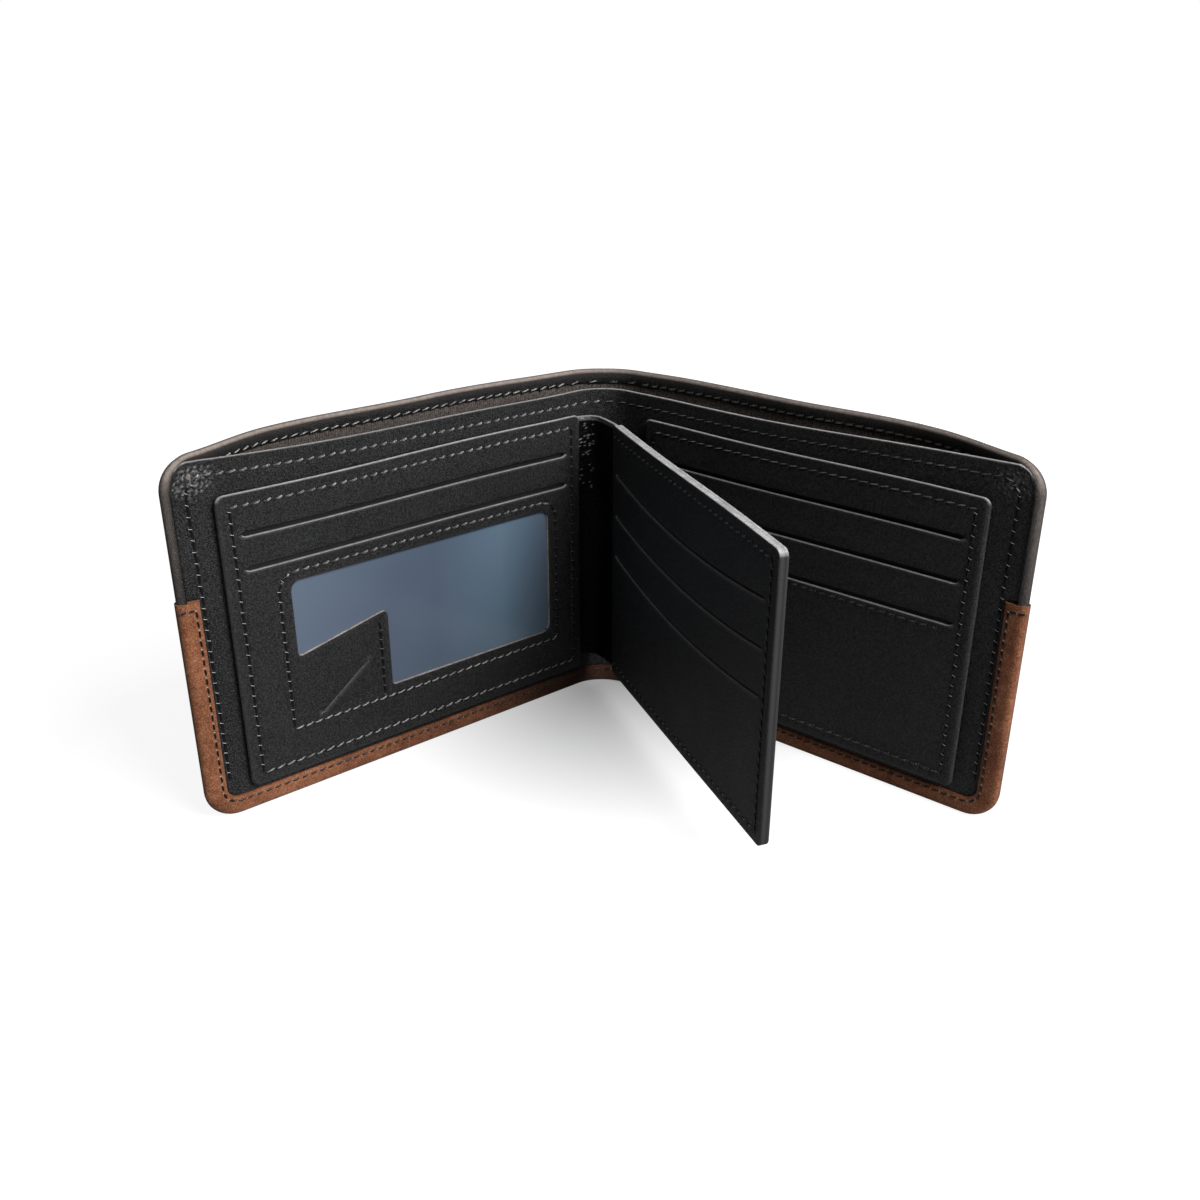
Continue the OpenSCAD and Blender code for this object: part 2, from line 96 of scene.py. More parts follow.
class Side(Enum):
    """The two halves of the wallet, by the sign of X."""

    LEFT = -1
    RIGHT = 1


class Slot(Enum):
    """The record's material slots."""

    BLACK = "black_leather"
    BROWN = "brown_suede"
    LINING = "lining_cloth"
    POCKET = "pocket_cloth"
    STIFFENER = "stiffener"
    FILM = "window_film"


# ---------------------------------------------------------------- shader graphs


class Graph:
    """Adds nodes to a node tree, with their inputs given by name."""

    def __init__(self, tree: bpy.types.NodeTree) -> None:
        """Keeps the tree that the nodes go into."""
        self.tree = tree

    def feed(self, node: bpy.types.Node, inputs: dict) -> bpy.types.Node:
        """Links output sockets to a node's inputs, or sets plain values on them."""
        for key, value in inputs.items():
            if isinstance(value, Socket):
                self.tree.links.new(value, node.inputs[key])
            else:
                node.inputs[key].default_value = value
        return node

    def add(self, kind: str, inputs: dict | None = None, **settings: object) -> bpy.types.Node:
        """Adds one node.

        Args:
            kind: The node's class name.
            inputs: Values or output sockets, by the input's name or number.
            settings: The node's own properties.

        Returns:
            The new node.
        """
        node = self.tree.nodes.new(kind)
        for name, value in settings.items():
            setattr(node, name, value)
        return self.feed(node, inputs or {})

    def math(self, kind: str, *values: object) -> Socket:
        """A Math node's result."""
        return self.add("ShaderNodeMath", dict(enumerate(values)), operation=kind).outputs[0]

    def times(self, first: object, second: object) -> Socket:
        """The product of two values."""
        return self.math("MULTIPLY", first, second)

    def total(self, *parts: tuple[object, object]) -> Socket:
        """The sum of values, each times its share."""
        scaled = [self.times(value, share) for value, share in parts]
        out = scaled[0]
        for part in scaled[1:]:
            out = self.math("ADD", out, part)
        return out

    def noise(self, vector: object, scale: float, detail: float = 4, rough: float = 0.5,
              stretch: float = 0.0) -> Socket:
        """Fractal noise from 0 to 1."""
        return self.add("ShaderNodeTexNoise", {
            "Vector": vector, "Scale": scale, "Detail": detail, "Roughness": rough,
            "Distortion": stretch}).outputs["Fac"]

    def ramp(self, value: object, *stops: tuple[float, Colour]) -> Socket:
        """A colour ramp through the given places and colours."""
        node = self.add("ShaderNodeValToRGB", {"Fac": value})
        elements = node.color_ramp.elements
        while len(elements) < len(stops):
            elements.new(0.5)
        for element, (place, colour) in zip(elements, stops):
            element.position = place
            element.color = (*colour, 1)
        return node.outputs["Color"]

    def span(self, value: object, low: float, high: float, start: float = 0, end: float = 1) -> Socket:
        """Maps a range of values onto another."""
        return self.add("ShaderNodeMapRange", {
            "Value": value, "From Min": low, "From Max": high, "To Min": start, "To Max": end}).outputs[0]

    def mix(self, factor: object, first: object, second: object) -> Socket:
        """Mixes two colours."""
        return self.add("ShaderNodeMix", {0: factor, 6: first, 7: second}, data_type="RGBA").outputs[2]

    def bump(self, strength: object, distance: float, height: object) -> Socket:
        """The normal of a surface raised by a height."""
        return self.add("ShaderNodeBump", {
            "Strength": strength, "Distance": distance, "Height": height}).outputs[0]

    def carried(self, name: str) -> Socket:
        """A value that the mesh carries."""
        return self.add("ShaderNodeAttribute", attribute_name=name).outputs["Fac"]

    def parts(self, vector: object) -> bpy.types.NodeOutputs:
        """The X, Y and Z of a vector."""
        return self.add("ShaderNodeSeparateXYZ", {0: vector}).outputs

    def chart(self) -> bpy.types.NodeOutputs:
        """The place in the panel: X along the leather from the fold, Y up."""
        return self.parts(self.add("ShaderNodeUVMap", uv_map="panel").outputs["UV"])


class SharedGroups:
    """Node groups that several materials use."""

    def __init__(self) -> None:
        """Starts with no group built."""
        self.built: dict[str, bpy.types.NodeTree] = {}

    def start(self, name: str, inputs: dict[str, tuple[str, object]],
              outputs: dict[str, str]) -> tuple[Graph, bpy.types.Node, bpy.types.Node]:
        """Opens a new group.

        Args:
            name: The group's name.
            inputs: Socket kinds and default values, by name.
            outputs: Socket kinds, by name.

        Returns:
            The group's graph, its input node and its output node.
        """
        tree = bpy.data.node_groups.new(name, "ShaderNodeTree")
        for key, (kind, value) in inputs.items():
            socket = tree.interface.new_socket(key, in_out="INPUT", socket_type=kind)
            if value is not None:
                socket.default_value = value
        for key, kind in outputs.items():
            tree.interface.new_socket(key, in_out="OUTPUT", socket_type=kind)
        self.built[name] = tree
        return Graph(tree), tree.nodes.new("NodeGroupInput"), tree.nodes.new("NodeGroupOutput")

    def grain(self) -> bpy.types.NodeTree:
        """Fine leather grain: pebbles, creases between them and slow unevenness."""
        if "Grain" in self.built:
            return self.built["Grain"]
        g, given, result = self.start("Grain", {
            "Vector": ("NodeSocketVector", None), "Size": ("NodeSocketFloat", 1500.0),
            "Depth": ("NodeSocketFloat", 0.5)}, {
            "Normal": "NodeSocketVector", "Crease": "NodeSocketFloat", "Cloud": "NodeSocketFloat"})
        place = given.outputs["Vector"]
        wobble = g.add("ShaderNodeTexNoise", {"Vector": place, "Scale": 700, "Detail": 2})
        bent = g.add("ShaderNodeVectorMath", {0: wobble.outputs["Color"], "Scale": 0.0006},
                     operation="SCALE").outputs[0]
        moved = g.add("ShaderNodeVectorMath", {0: place, 1: bent}, operation="ADD").outputs[0]
        cells = g.add("ShaderNodeTexVoronoi", {"Vector": moved, "Scale": given.outputs["Size"]},
                      feature="DISTANCE_TO_EDGE").outputs["Distance"]
        pebble = g.span(cells, 0.0, 0.22)
        height = g.total((pebble, 0.5), (g.noise(place, 2300, 3, 0.65), 0.8))
        g.feed(result, {"Normal": g.bump(given.outputs["Depth"], 0.3 * MM, height), "Crease": pebble,
                        "Cloud": g.noise(place, 55, 4, 0.55)})
        return self.built["Grain"]

    def nap(self) -> bpy.types.NodeTree:
        """Brushed suede: mottled shade, short fibres and rubbed patches."""
        if "Nap" in self.built:
            return self.built["Nap"]
        g, given, result = self.start("Nap", {
            "Vector": ("NodeSocketVector", None), "Depth": ("NodeSocketFloat", 0.8)}, {
            "Normal": "NodeSocketVector", "Mottle": "NodeSocketFloat", "Fleck": "NodeSocketFloat"})
        place = given.outputs["Vector"]
        slow = g.noise(place, 60, 5, 0.65, 0.4)
        middle = g.noise(place, 420, 4, 0.7)
        fibre = g.noise(place, 2600, 4, 0.75)
        height = g.total((fibre, 0.8), (middle, 0.6))
        g.feed(result, {"Normal": g.bump(given.outputs["Depth"], 0.25 * MM, height),
                        "Mottle": g.span(g.total((slow, 0.6), (middle, 0.4)), 0.3, 0.7),
                        "Fleck": g.span(fibre, 0.3, 0.72)})
        return self.built["Nap"]


GROUPS = SharedGroups()


@dataclass(frozen=True)
class Finish:
    """A surface finish, built as a material on first use."""

    name: str

    def dress(self, g: Graph, shader: bpy.types.Node, place: Socket) -> None:
        """Wires the finish into the shader.

        Args:
            g: The material's graph.
            shader: Its Principled shader.
            place: The Object coordinates.
        """
        raise NotImplementedError

    def material(self) -> bpy.types.Material:
        """The finish's material."""
        made = bpy.data.materials.get(self.name)
        if made is None:
            made = bpy.data.materials.new(self.name)
            made.use_nodes = True
            g = Graph(made.node_tree)
            place = g.add("ShaderNodeTexCoord").outputs["Object"]
            self.dress(g, made.node_tree.nodes["Principled BSDF"], place)
        return made


@dataclass(frozen=True)
class Leather(Finish):
    """Smooth dyed leather with a fine grain, light along its edges from rubbing and from painted highlights.
    """

    dark: Colour = (0.0045, 0.0046, 0.0052)
    light: Colour = (0.052, 0.0525, 0.055)
    # The light edge colour: rubbing on edges, and painted highlights on lit top edges, rims, slot lips and
    # crease ridges.
    worn_and_lit: Colour = (0.78, 0.76, 0.745)
    roughness: float = 0.44
    grain: float = 2300
    depth: float = 0.75
    gloss: float = 0.36

    def dress(self, g: Graph, shader: bpy.types.Node, place: Socket) -> None:
        """Wires grain, slow shade, edge rubbing and painted highlights into the shader."""
        grain = g.add("ShaderNodeGroup", {"Vector": place, "Size": self.grain, "Depth": self.depth},
                      node_tree=GROUPS.grain()).outputs
        fleck = g.span(g.noise(place, 2300, 2, 0.6), 0.38, 0.64)
        shade = g.total((grain["Cloud"], 0.25), (grain["Crease"], 0.15), (fleck, 0.6))
        colour = g.ramp(shade, (0.28, self.dark), (0.88, self.light))
        # The carried edge value lightens the colour where edges show rubbing and where highlights are
        # painted.
        rub_and_painted_light = g.times(g.carried("wear_and_painted_light"), g.span(g.noise(place, 900, 4, 0.7), 0.3, 0.65, 0.6, 1))
        rough = g.math("ADD", g.span(grain["Cloud"], 0.3, 0.7, self.roughness - 0.05, self.roughness + 0.07),
                       g.times(rub_and_painted_light, 0.12))
        g.feed(shader, {"Base Color": g.mix(rub_and_painted_light, colour, (*self.worn_and_lit, 1)), "Roughness": rough,
                        "Normal": grain["Normal"], "Specular IOR Level": self.gloss})


@dataclass(frozen=True)
class Suede(Finish):
    """Brushed suede with a mottled nap."""

    dark: Colour = (0.085, 0.028, 0.013)
    middle: Colour = (0.30, 0.108, 0.048)
    light: Colour = (0.60, 0.27, 0.14)
    # The dark rim colour: the band's dark edge, with painted contact shadow along the bottom and painted
    # shade near the spine.
    rim: Colour = (0.016, 0.009, 0.007)

    def dress(self, g: Graph, shader: bpy.types.Node, place: Socket) -> None:
        """Wires the nap's shade and fibres into the shader."""
        nap = g.add("ShaderNodeGroup", {"Vector": place, "Depth": 0.7}, node_tree=GROUPS.nap()).outputs
        shade = g.total((nap["Mottle"], 0.42), (nap["Fleck"], 0.58))
        colour = g.ramp(shade, (0.22, self.dark), (0.5, self.middle), (0.82, self.light))
        # The carried edge value darkens the nap where the edge is dark and where shade is painted.
        rub_and_painted_light = g.times(g.carried("wear_and_painted_light"), 0.9)
        g.feed(shader, {"Base Color": g.mix(rub_and_painted_light, colour, (*self.rim, 1)), "Normal": nap["Normal"],
                        "Roughness": 0.85, "Specular IOR Level": 0.25, "Sheen Weight": 0.15,
                        "Sheen Roughness": 0.5})


@dataclass(frozen=True)
class Cloth(Finish):
    """Ribbed lining cloth; its ribs run up the panel."""

    dark: Colour = (0.018, 0.015, 0.013)
    light: Colour = (0.17, 0.138, 0.12)
    rib: float = 0.62 * MM
    thread: float = 0.35 * MM

    def dress(self, g: Graph, shader: bpy.types.Node, place: Socket) -> None:
        """Wires ribs and threads into the shader."""
        chart = g.chart()
        ribs = g.span(g.math("SINE", g.times(chart["X"], math.tau / self.rib)), -1, 1)
        threads = g.span(g.math("SINE", g.times(chart["Y"], math.tau / self.thread)), -1, 1)
        fleck = g.span(g.noise(place, 2000, 2, 0.6), 0.34, 0.68)
        height = g.total((ribs, g.span(threads, 0, 1, 0.25, 0.4)), (g.noise(place, 3000, 3, 0.6), 0.3))
        shade = g.total((height, 0.6), (fleck, 0.7))
        g.feed(shader, {"Base Color": g.ramp(shade, (0.15, self.dark), (0.95, self.light)),
                        "Normal": g.bump(0.8, 0.2 * MM, height), "Roughness": 0.8, "Sheen Weight": 0.2})


@dataclass(frozen=True)
class PlainWeave(Finish):
    """Dense plain-woven cloth of the card pockets, or pressed board."""

    dark: Colour = (0.006, 0.006, 0.0065)
    light: Colour = (0.02, 0.02, 0.021)

    def dress(self, g: Graph, shader: bpy.types.Node, place: Socket) -> None:
        """Wires a fine weave into the shader."""
        weave = g.noise(place, 2400, 2, 0.5)
        shade = g.total((weave, 0.6), (g.noise(place, 90, 3, 0.5), 0.4))
        g.feed(shader, {"Base Color": g.ramp(shade, (0.35, self.dark), (0.65, self.light)),
                        "Normal": g.bump(0.5, 0.15 * MM, weave), "Roughness": 0.85})


@dataclass(frozen=True)
class Film(Finish):
    """Clear plastic film over dark blue-grey card, faintly rippled, with a painted band of light near the
    fold.
    """

    deep: Colour = (0.115, 0.155, 0.225)
    pale: Colour = (0.15, 0.205, 0.285)
    # The glow colour is a painted band of light near the fold, which also lifts the shade the leaf casts on
    # the film.
    glow: Colour = (0.19, 0.30, 0.40)
    glow_at: float = 34.5 * MM
    glow_reach: float = 24 * MM

    def dress(self, g: Graph, shader: bpy.types.Node, place: Socket) -> None:
        """Wires the film's soft shading and gloss into the shader."""
        slow = g.noise(place, 18, 2, 0.4)
        base = g.ramp(slow, (0.3, self.deep), (0.75, self.pale))
        off = g.math("ABSOLUTE", g.math("SUBTRACT", g.chart()["X"], self.glow_at))
        band = g.span(g.math("ADD", off, g.times(slow, 6 * MM)), self.glow_reach, 1 * MM)
        g.feed(shader, {"Base Color": g.mix(g.times(band, 0.75), base, (*self.glow, 1)),
                        "Normal": g.bump(0.25, 1 * MM, g.noise(place, 45, 2, 0.4)), "Roughness": 0.28,
                        "Coat Weight": 0.35, "Coat Roughness": 0.12})


@dataclass(frozen=True)
class CutEdge(Finish):
    """A cut or painted leather edge with a short fibrous grain, inked black below a height."""

    dark: Colour = (0.20, 0.165, 0.15)
    light: Colour = (0.62, 0.54, 0.50)
    inked: Colour = (0.030, 0.029, 0.029)
    inked_below: float = -1.0

    def dress(self, g: Graph, shader: bpy.types.Node, place: Socket) -> None:
        """Wires uneven shade and fibres into the shader."""
        fibre = g.noise(place, 1900, 4, 0.7)
        shade = g.total((fibre, 0.6), (g.noise(place, 260, 3, 0.6), 0.4))
        bare = g.span(g.parts(place)["Z"], self.inked_below, self.inked_below + 1.2 * MM)
        colour = g.mix(bare, (*self.inked, 1), g.ramp(shade, (0.35, self.dark), (0.62, self.light)))
        g.feed(shader, {"Base Color": colour, "Normal": g.bump(0.5, 0.1 * MM, fibre), "Roughness": 0.6})


@dataclass(frozen=True)
class Thread(Finish):
    """Waxed sewing thread with small glints painted into its colour, and needle holes painted dark as shade.
    """

    colour: Colour = (0.0025, 0.0025, 0.003)
    glint: Colour = (0.56, 0.54, 0.52)

    def dress(self, g: Graph, shader: bpy.types.Node, place: Socket) -> None:
        """Wires ply, glints and needle holes into the shader."""
        ply = g.noise(place, 2200, 2, 0.5)
        level, own = g.carried("shine"), g.carried("glint")
        # Painted highlight: level rows are lightened along their upper side, and ticks on upright rows;
        # needle holes stay dark.
        above = g.span(g.parts(g.add("ShaderNodeNewGeometry").outputs["Normal"])["Z"], 0.15, 0.5)
        ridge = g.times(g.span(ply, 0.40, 0.60, 0.3, 1.0), above)
        upright = g.times(own, g.span(level, 0.0, 0.6, 1, 0.15))
        lit = g.math("MAXIMUM", upright, g.times(level, ridge))
        lit = g.times(lit, g.span(own, -1, -0.5))
        g.feed(shader, {"Base Color": g.mix(lit, (*self.colour, 1), (*self.glint, 1)),
                        "Roughness": g.span(own, -1, 0, 1.0, 0.3),
                        "Normal": g.bump(0.6, 0.08 * MM, ply), "Specular IOR Level": 0.4})


BLACK = Leather("smooth_black_leather")
SOFT_BLACK = Leather("soft_black_leather", roughness=0.46, grain=1700, depth=0.9)
# The cover's warm edge colour is the painted highlight of its rolled rim, with some rubbing.
COVER_BLACK = Leather("cover_black_leather", dark=(0.0012, 0.0012, 0.0014), light=(0.015, 0.0148, 0.0153),
                      worn_and_lit=(0.52, 0.43, 0.38), gloss=0.42)
# A darker copy of the black leather: painted shade for the strip that sits deep in the spine.
HINGE_SHADED_BLACK = Leather("hinge_shaded_black_leather", dark=(0.0010, 0.0010, 0.0012), light=(0.003, 0.003, 0.0034),
                      roughness=0.42, grain=900, depth=1.0, gloss=0.12)
BROWN = Suede("brown_suede_band")
RIBBED = Cloth("ribbed_lining")
WEAVE = PlainWeave("pocket_weave")
BOARD = PlainWeave("pressed_board", dark=(0.16, 0.16, 0.165), light=(0.42, 0.42, 0.43))
FILM = Film("rippled_window_film")
RAW = CutEdge("raw_cut_edge")
PAINTED = CutEdge("leaf_edge", dark=(0.34, 0.34, 0.34), light=(0.90, 0.90, 0.90),
                  inked_below=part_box("leaf_core")[1][2] - 1.6 * MM)
THREAD = Thread("black_thread")
ROW_SHINE = {Side.LEFT: 1.0, Side.RIGHT: 0.4}


# ---------------------------------------------------------------- the panels' frames


def measured(node: str) -> Array:
    """The vertices of a CAD node, in metres."""
    return np.array([v.co for v in frame["nodes"][node].data.vertices], float)


def broad_normal(node: str) -> Array:
    """The normal of the largest face of a CAD node."""
    face = max(frame["nodes"][node].data.polygons, key=lambda p: p.area)
    return np.array(face.normal, float)


def smooth_step(value: object) -> object:
    """An even rise from 0 to 1 where the value goes from 0 to 1."""
    t = np.clip(value, 0, 1)
    return t * t * (3 - 2 * t)


@dataclass(frozen=True)
class PanelFrame:
    """Panel coordinates: s along the leather from the fold axis, y through it, z up.

    Where s is short of fold_start the panel turns round the spine. The slack is how far the leather
    waves, and the phase is where its waves start.
    """

    axis: Array
    along: Array
    outward: Array
    fold_start: float = 0.0
    turn: float = 0.0
    slack: float = 0.0
    phase: float = 0.0

    @classmethod
    def of_panel(cls, side: Side, axis: Array) -> "PanelFrame":
        """The frame of the left or right panel, read from its CAD nodes."""
        name = side.name.lower()
        outward = broad_normal(f"{name}_pocket_back")
        outward *= 1 if outward[1] > 0 else -1
        along = np.array([outward[1], -outward[0], 0]) * side.value
        flat = cls(axis, along, outward)
        start = flat.read(f"inner_panel_{name}")[0][0]
        turn = math.atan2(abs(outward[0]), outward[1])
        return cls(axis, along, outward, start, turn, 0.25 * MM, 1.3 * side.value)

    @classmethod
    def of_leaf(cls, axis: Array) -> "PanelFrame":
        """The frame of the centre leaf; its left face is at negative y."""
        outward = broad_normal("leaf_core")
        outward *= 1 if outward[0] > 0 else -1
        return cls(axis, np.array([outward[1], -outward[0], 0]), outward, slack=0.2 * MM, phase=2.1)

    @property
    def bend_end(self) -> float:
        """How far from the fold the leather is meshed for bending."""
        return self.fold_start + 4 * MM

    def read(self, node: str) -> tuple[Array, Array]:
        """The lowest and highest panel coordinates of a CAD node."""
        points = measured(node) - self.axis
        local = np.stack([points @ self.along, points @ self.outward, points[:, 2]], axis=1)
        return local.min(axis=0), local.max(axis=0)

    def waved(self, s: Array, y: Array, z: Array) -> tuple[Array, Array]:
        """Level and height moved by the leather's slack: long waves that die out at the fold and low down."""
        flat = smooth_step((s - self.fold_start) / (20 * MM))
        wave = np.sin(s / (19 * MM) + self.phase + z / (60 * MM)) * 0.6
        wave = wave + np.sin(z / (13 * MM) + self.phase * 2 - s / (47 * MM)) * 0.4
        lift = np.sin(s / (14.5 * MM) + self.phase) * flat * smooth_step((z - 55 * MM) / (35 * MM))
        return y + 0.4 * self.slack * flat * wave * smooth_step(z / (25 * MM)), z + self.slack * lift

    def place(self, s: Array, y: Array, z: Array) -> Array:
        """World points of the given panel coordinates."""
        s, y, z = (np.asarray(v, float) for v in np.broadcast_arrays(s, y, z))
        y, z = self.waved(s, y, z)
        u, w = s, y
        if self.fold_start:
            depth = self.fold_start / math.tan(self.turn)
            angle = self.turn * (1 - s / self.fold_start)
            turning = s < self.fold_start
            u = np.where(turning, self.fold_start - (depth + y) * np.sin(angle), s)
            w = np.where(turning, (depth + y) * np.cos(angle) - depth, y)
        return (self.axis + u[..., None] * self.along + w[..., None] * self.outward
                + z[..., None] * np.array([0, 0, 1.0]))


# ---------------------------------------------------------------- paths in a panel


def along_path(path: Array) -> Array:
    """The length of a path up to each of its points."""
    return np.concatenate([[0], np.cumsum(np.linalg.norm(np.diff(path, axis=0), axis=1))])


def points_at(path: Array, lengths: Array) -> Array:
    """The points at the given lengths along a path."""
    reach = along_path(path)
    return np.stack([np.interp(lengths, reach, path[:, i]) for i in (0, 1)], axis=1)


def resample(path: Array, step: float) -> Array:
    """Points along an open path, at even steps no longer than the given one."""
    length = along_path(path)[-1]
    return points_at(path, np.linspace(0, length, max(2, math.ceil(length / step) + 1)))


def arc(centre: Pair, radius: float, start: float, end: float, steps: int = 8) -> Array:
    """Points on an arc, between two angles in degrees."""
    a = np.radians(np.linspace(start, end, steps + 1))
    return np.array(centre) + radius * np.stack([np.cos(a), np.sin(a)], axis=1)


def rounded_box(low: Pair, high: Pair, radii: Sequence[float], step: float) -> Array:
    """An anticlockwise rounded rectangle, its radii from the lower left corner round."""
    centres = [(low[0] + radii[0], low[1] + radii[0]), (high[0] - radii[1], low[1] + radii[1]),
               (high[0] - radii[2], high[1] - radii[2]), (low[0] + radii[3], high[1] - radii[3])]
    corners = [arc(c, r, 180 + 90 * i, 270 + 90 * i) for i, (c, r) in enumerate(zip(centres, radii))]
    return densify(np.vstack(corners), step, closed=True)


def densify(path: Array, step: float, closed: bool = False) -> Array:
    """Adds points to the long stretches of a path and keeps its own."""
    ends = ring(path)[1:] if closed else path[1:]
    out = []
    for a, b in zip(path, ends):
        count = max(1, math.ceil(np.linalg.norm(b - a) / step))
        out.extend(a + (b - a) * i / count for i in range(count))
    if not closed:
        out.append(path[-1])
    out = np.array(out)
    keep = np.linalg.norm(np.diff(out, axis=0, append=out[:1] if closed else out[-1:] + 1), axis=1) > TOUCHING
    return out[keep]


def ring(loop: Array) -> Array:
    """A loop as a path that ends where it starts."""
    return np.vstack([loop, loop[:1]])


def fine_at_fold(path: Array, turn: float) -> Array:
    """The same path with more points where it crosses the leather that bends at the fold."""
    out = [path[:1]]
    for a, b in zip(path, path[1:]):
        crosses = min(a[0], b[0]) < turn and abs(a[0] - b[0]) > FOLD_STEP
        count = math.ceil(abs(a[0] - b[0]) / FOLD_STEP) if crosses else 1
        out.append(a + (b - a) * np.linspace(0, 1, count + 1)[1:, None])
    return np.vstack(out)


def box_path(low: Array, high: Array, step: float) -> Array:
    """The upright rectangle between two panel places, anticlockwise."""
    corners = [(low[0], low[2]), (high[0], low[2]), (high[0], high[2]), (low[0], high[2])]
    return densify(np.array(corners), step, closed=True)


def inward(loop: Array) -> Array:
    """The inward mitre of each point of an anticlockwise loop."""
    before, after = np.roll(loop, 1, axis=0), np.roll(loop, -1, axis=0)
    first, second = loop - before, after - loop
    first /= np.linalg.norm(first, axis=1)[:, None]
    second /= np.linalg.norm(second, axis=1)[:, None]
    both = first + second
    normals = np.stack([-both[:, 1], both[:, 0]], axis=1)
    length = np.linalg.norm(normals, axis=1)[:, None]
    return normals / length * np.minimum(2 / np.maximum(length, 0.8), 2)


def inside(points: Array, loop: Array) -> Array:
    """Whether each point lies inside a loop."""
    x, y = points[:, :1], points[:, 1:]
    a, b = loop, np.roll(loop, -1, axis=0)
    crosses = (a[:, 1] > y) != (b[:, 1] > y)
    rise = np.where(b[:, 1] == a[:, 1], 1, b[:, 1] - a[:, 1])
    at = a[:, 0] + (y - a[:, 1]) / rise * (b[:, 0] - a[:, 0])
    return (np.sum(crosses & (x < at), axis=1) % 2).astype(bool)


def nearest(points: Array, path: Array) -> tuple[Array, Array, Array]:
    """Distance of each point from a path, the length along it, and how far it lies above it."""
    a, d = path[:-1], np.diff(path, axis=0)
    length, start = np.linalg.norm(d, axis=1), along_path(path)[:-1]
    t = np.clip(((points[:, None] - a) * d).sum(-1) / np.maximum(length, 1e-9) ** 2, 0, 1)
    off = points[:, None] - (a + t[..., None] * d)
    dist = np.linalg.norm(off, axis=-1)
    best = dist.argmin(axis=1)
    rows = np.arange(len(points))
    return dist[rows, best], (start + t * length)[rows, best], off[rows, best, 1]


@dataclass(frozen=True)
class Seam:
    """A row of stitches along a path of panel coordinates, on the surface at a level.

    The depth and width are those of the channel that the thread pulls into the leather.
    """

    path: Array
    level: float
    pitch: float = 2.9 * MM
    depth: float = 0.22 * MM
    width: float = 0.75 * MM

    def spacing(self) -> float:
        """The pitch that fits a whole number of stitches in the path."""
        length = np.linalg.norm(np.diff(self.path, axis=0), axis=1).sum()
        return length / max(1, round(length / self.pitch))

    def centres(self) -> tuple[Array, Array]:
        """The stitches' middles and the points a little further along."""
        count = round(along_path(self.path)[-1] / self.spacing())
        at = np.arange(count) * self.spacing() + self.spacing() / 2
        return points_at(self.path, at), points_at(self.path, at + 0.3 * MM)

    def relief(self, points: Array) -> Array:
        """How deep the thread pulls the leather in at each point."""
        dist, along, _ = nearest(points, self.path)
        pull = 0.62 + 0.38 * np.cos(math.tau * along / self.spacing())
        return self.depth * np.exp(-((dist / self.width) ** 2)) * pull

    def guides(self) -> Array:
        """Extra mesh points along the seam, so that its channel keeps its shape."""
        line = resample(self.path, self.spacing() / 4)
        along = np.gradient(line, axis=0)
        along /= np.linalg.norm(along, axis=1)[:, None]
        across = np.stack([-along[:, 1], along[:, 0]], axis=1)
        return np.vstack([line + across * off * MM for off in (-1.3, -0.6, 0, 0.6, 1.3)])


@dataclass(frozen=True)
class Cut:
    """A card slot or opening: its loop, the width of its rounded lip, and how far the lip stands up.

    The raw points are those whose cut edge is left light; the rest is inked black.
    """

    loop: Array
    middle: Array | None = None
    lip: float = 0.22 * MM
    rise: float = 0.0
    raw: Array | None = None

    def rub_and_painted_light(self) -> Array:
        """How light each point of the lip is: a slot's lower lip carries a painted highlight, its upper lip
        almost none, and an opening a little all round.
        """
        if self.middle is None:
            return np.full(len(self.loop), 0.12)
        # The lower lip's light is a painted highlight.
        return np.where(nearest(self.loop, self.middle)[2] < 0, 0.8, 0.04)

    def relief(self, points: Array) -> Array:
        """The lower lip stands out and the upper one is pressed in."""
        if self.middle is None or not self.rise:
            return np.zeros(len(points))
        dist, _, above = nearest(points, self.middle)
        fade = np.exp(-np.maximum(dist - 0.6 * MM, 0) / (1.1 * MM))
        return np.where(above < 0, -self.rise, self.rise * 0.7) * fade

    def guides(self) -> Array:
        """Extra mesh points along a slot."""
        if self.middle is None:
            return np.zeros((0, 2))
        line = resample(self.middle, 1.4 * MM)
        return np.vstack([line + np.array([0, off * MM]) for off in (-2.2, -1.4, 1.4, 2.2)])


# ---------------------------------------------------------------- mesh building


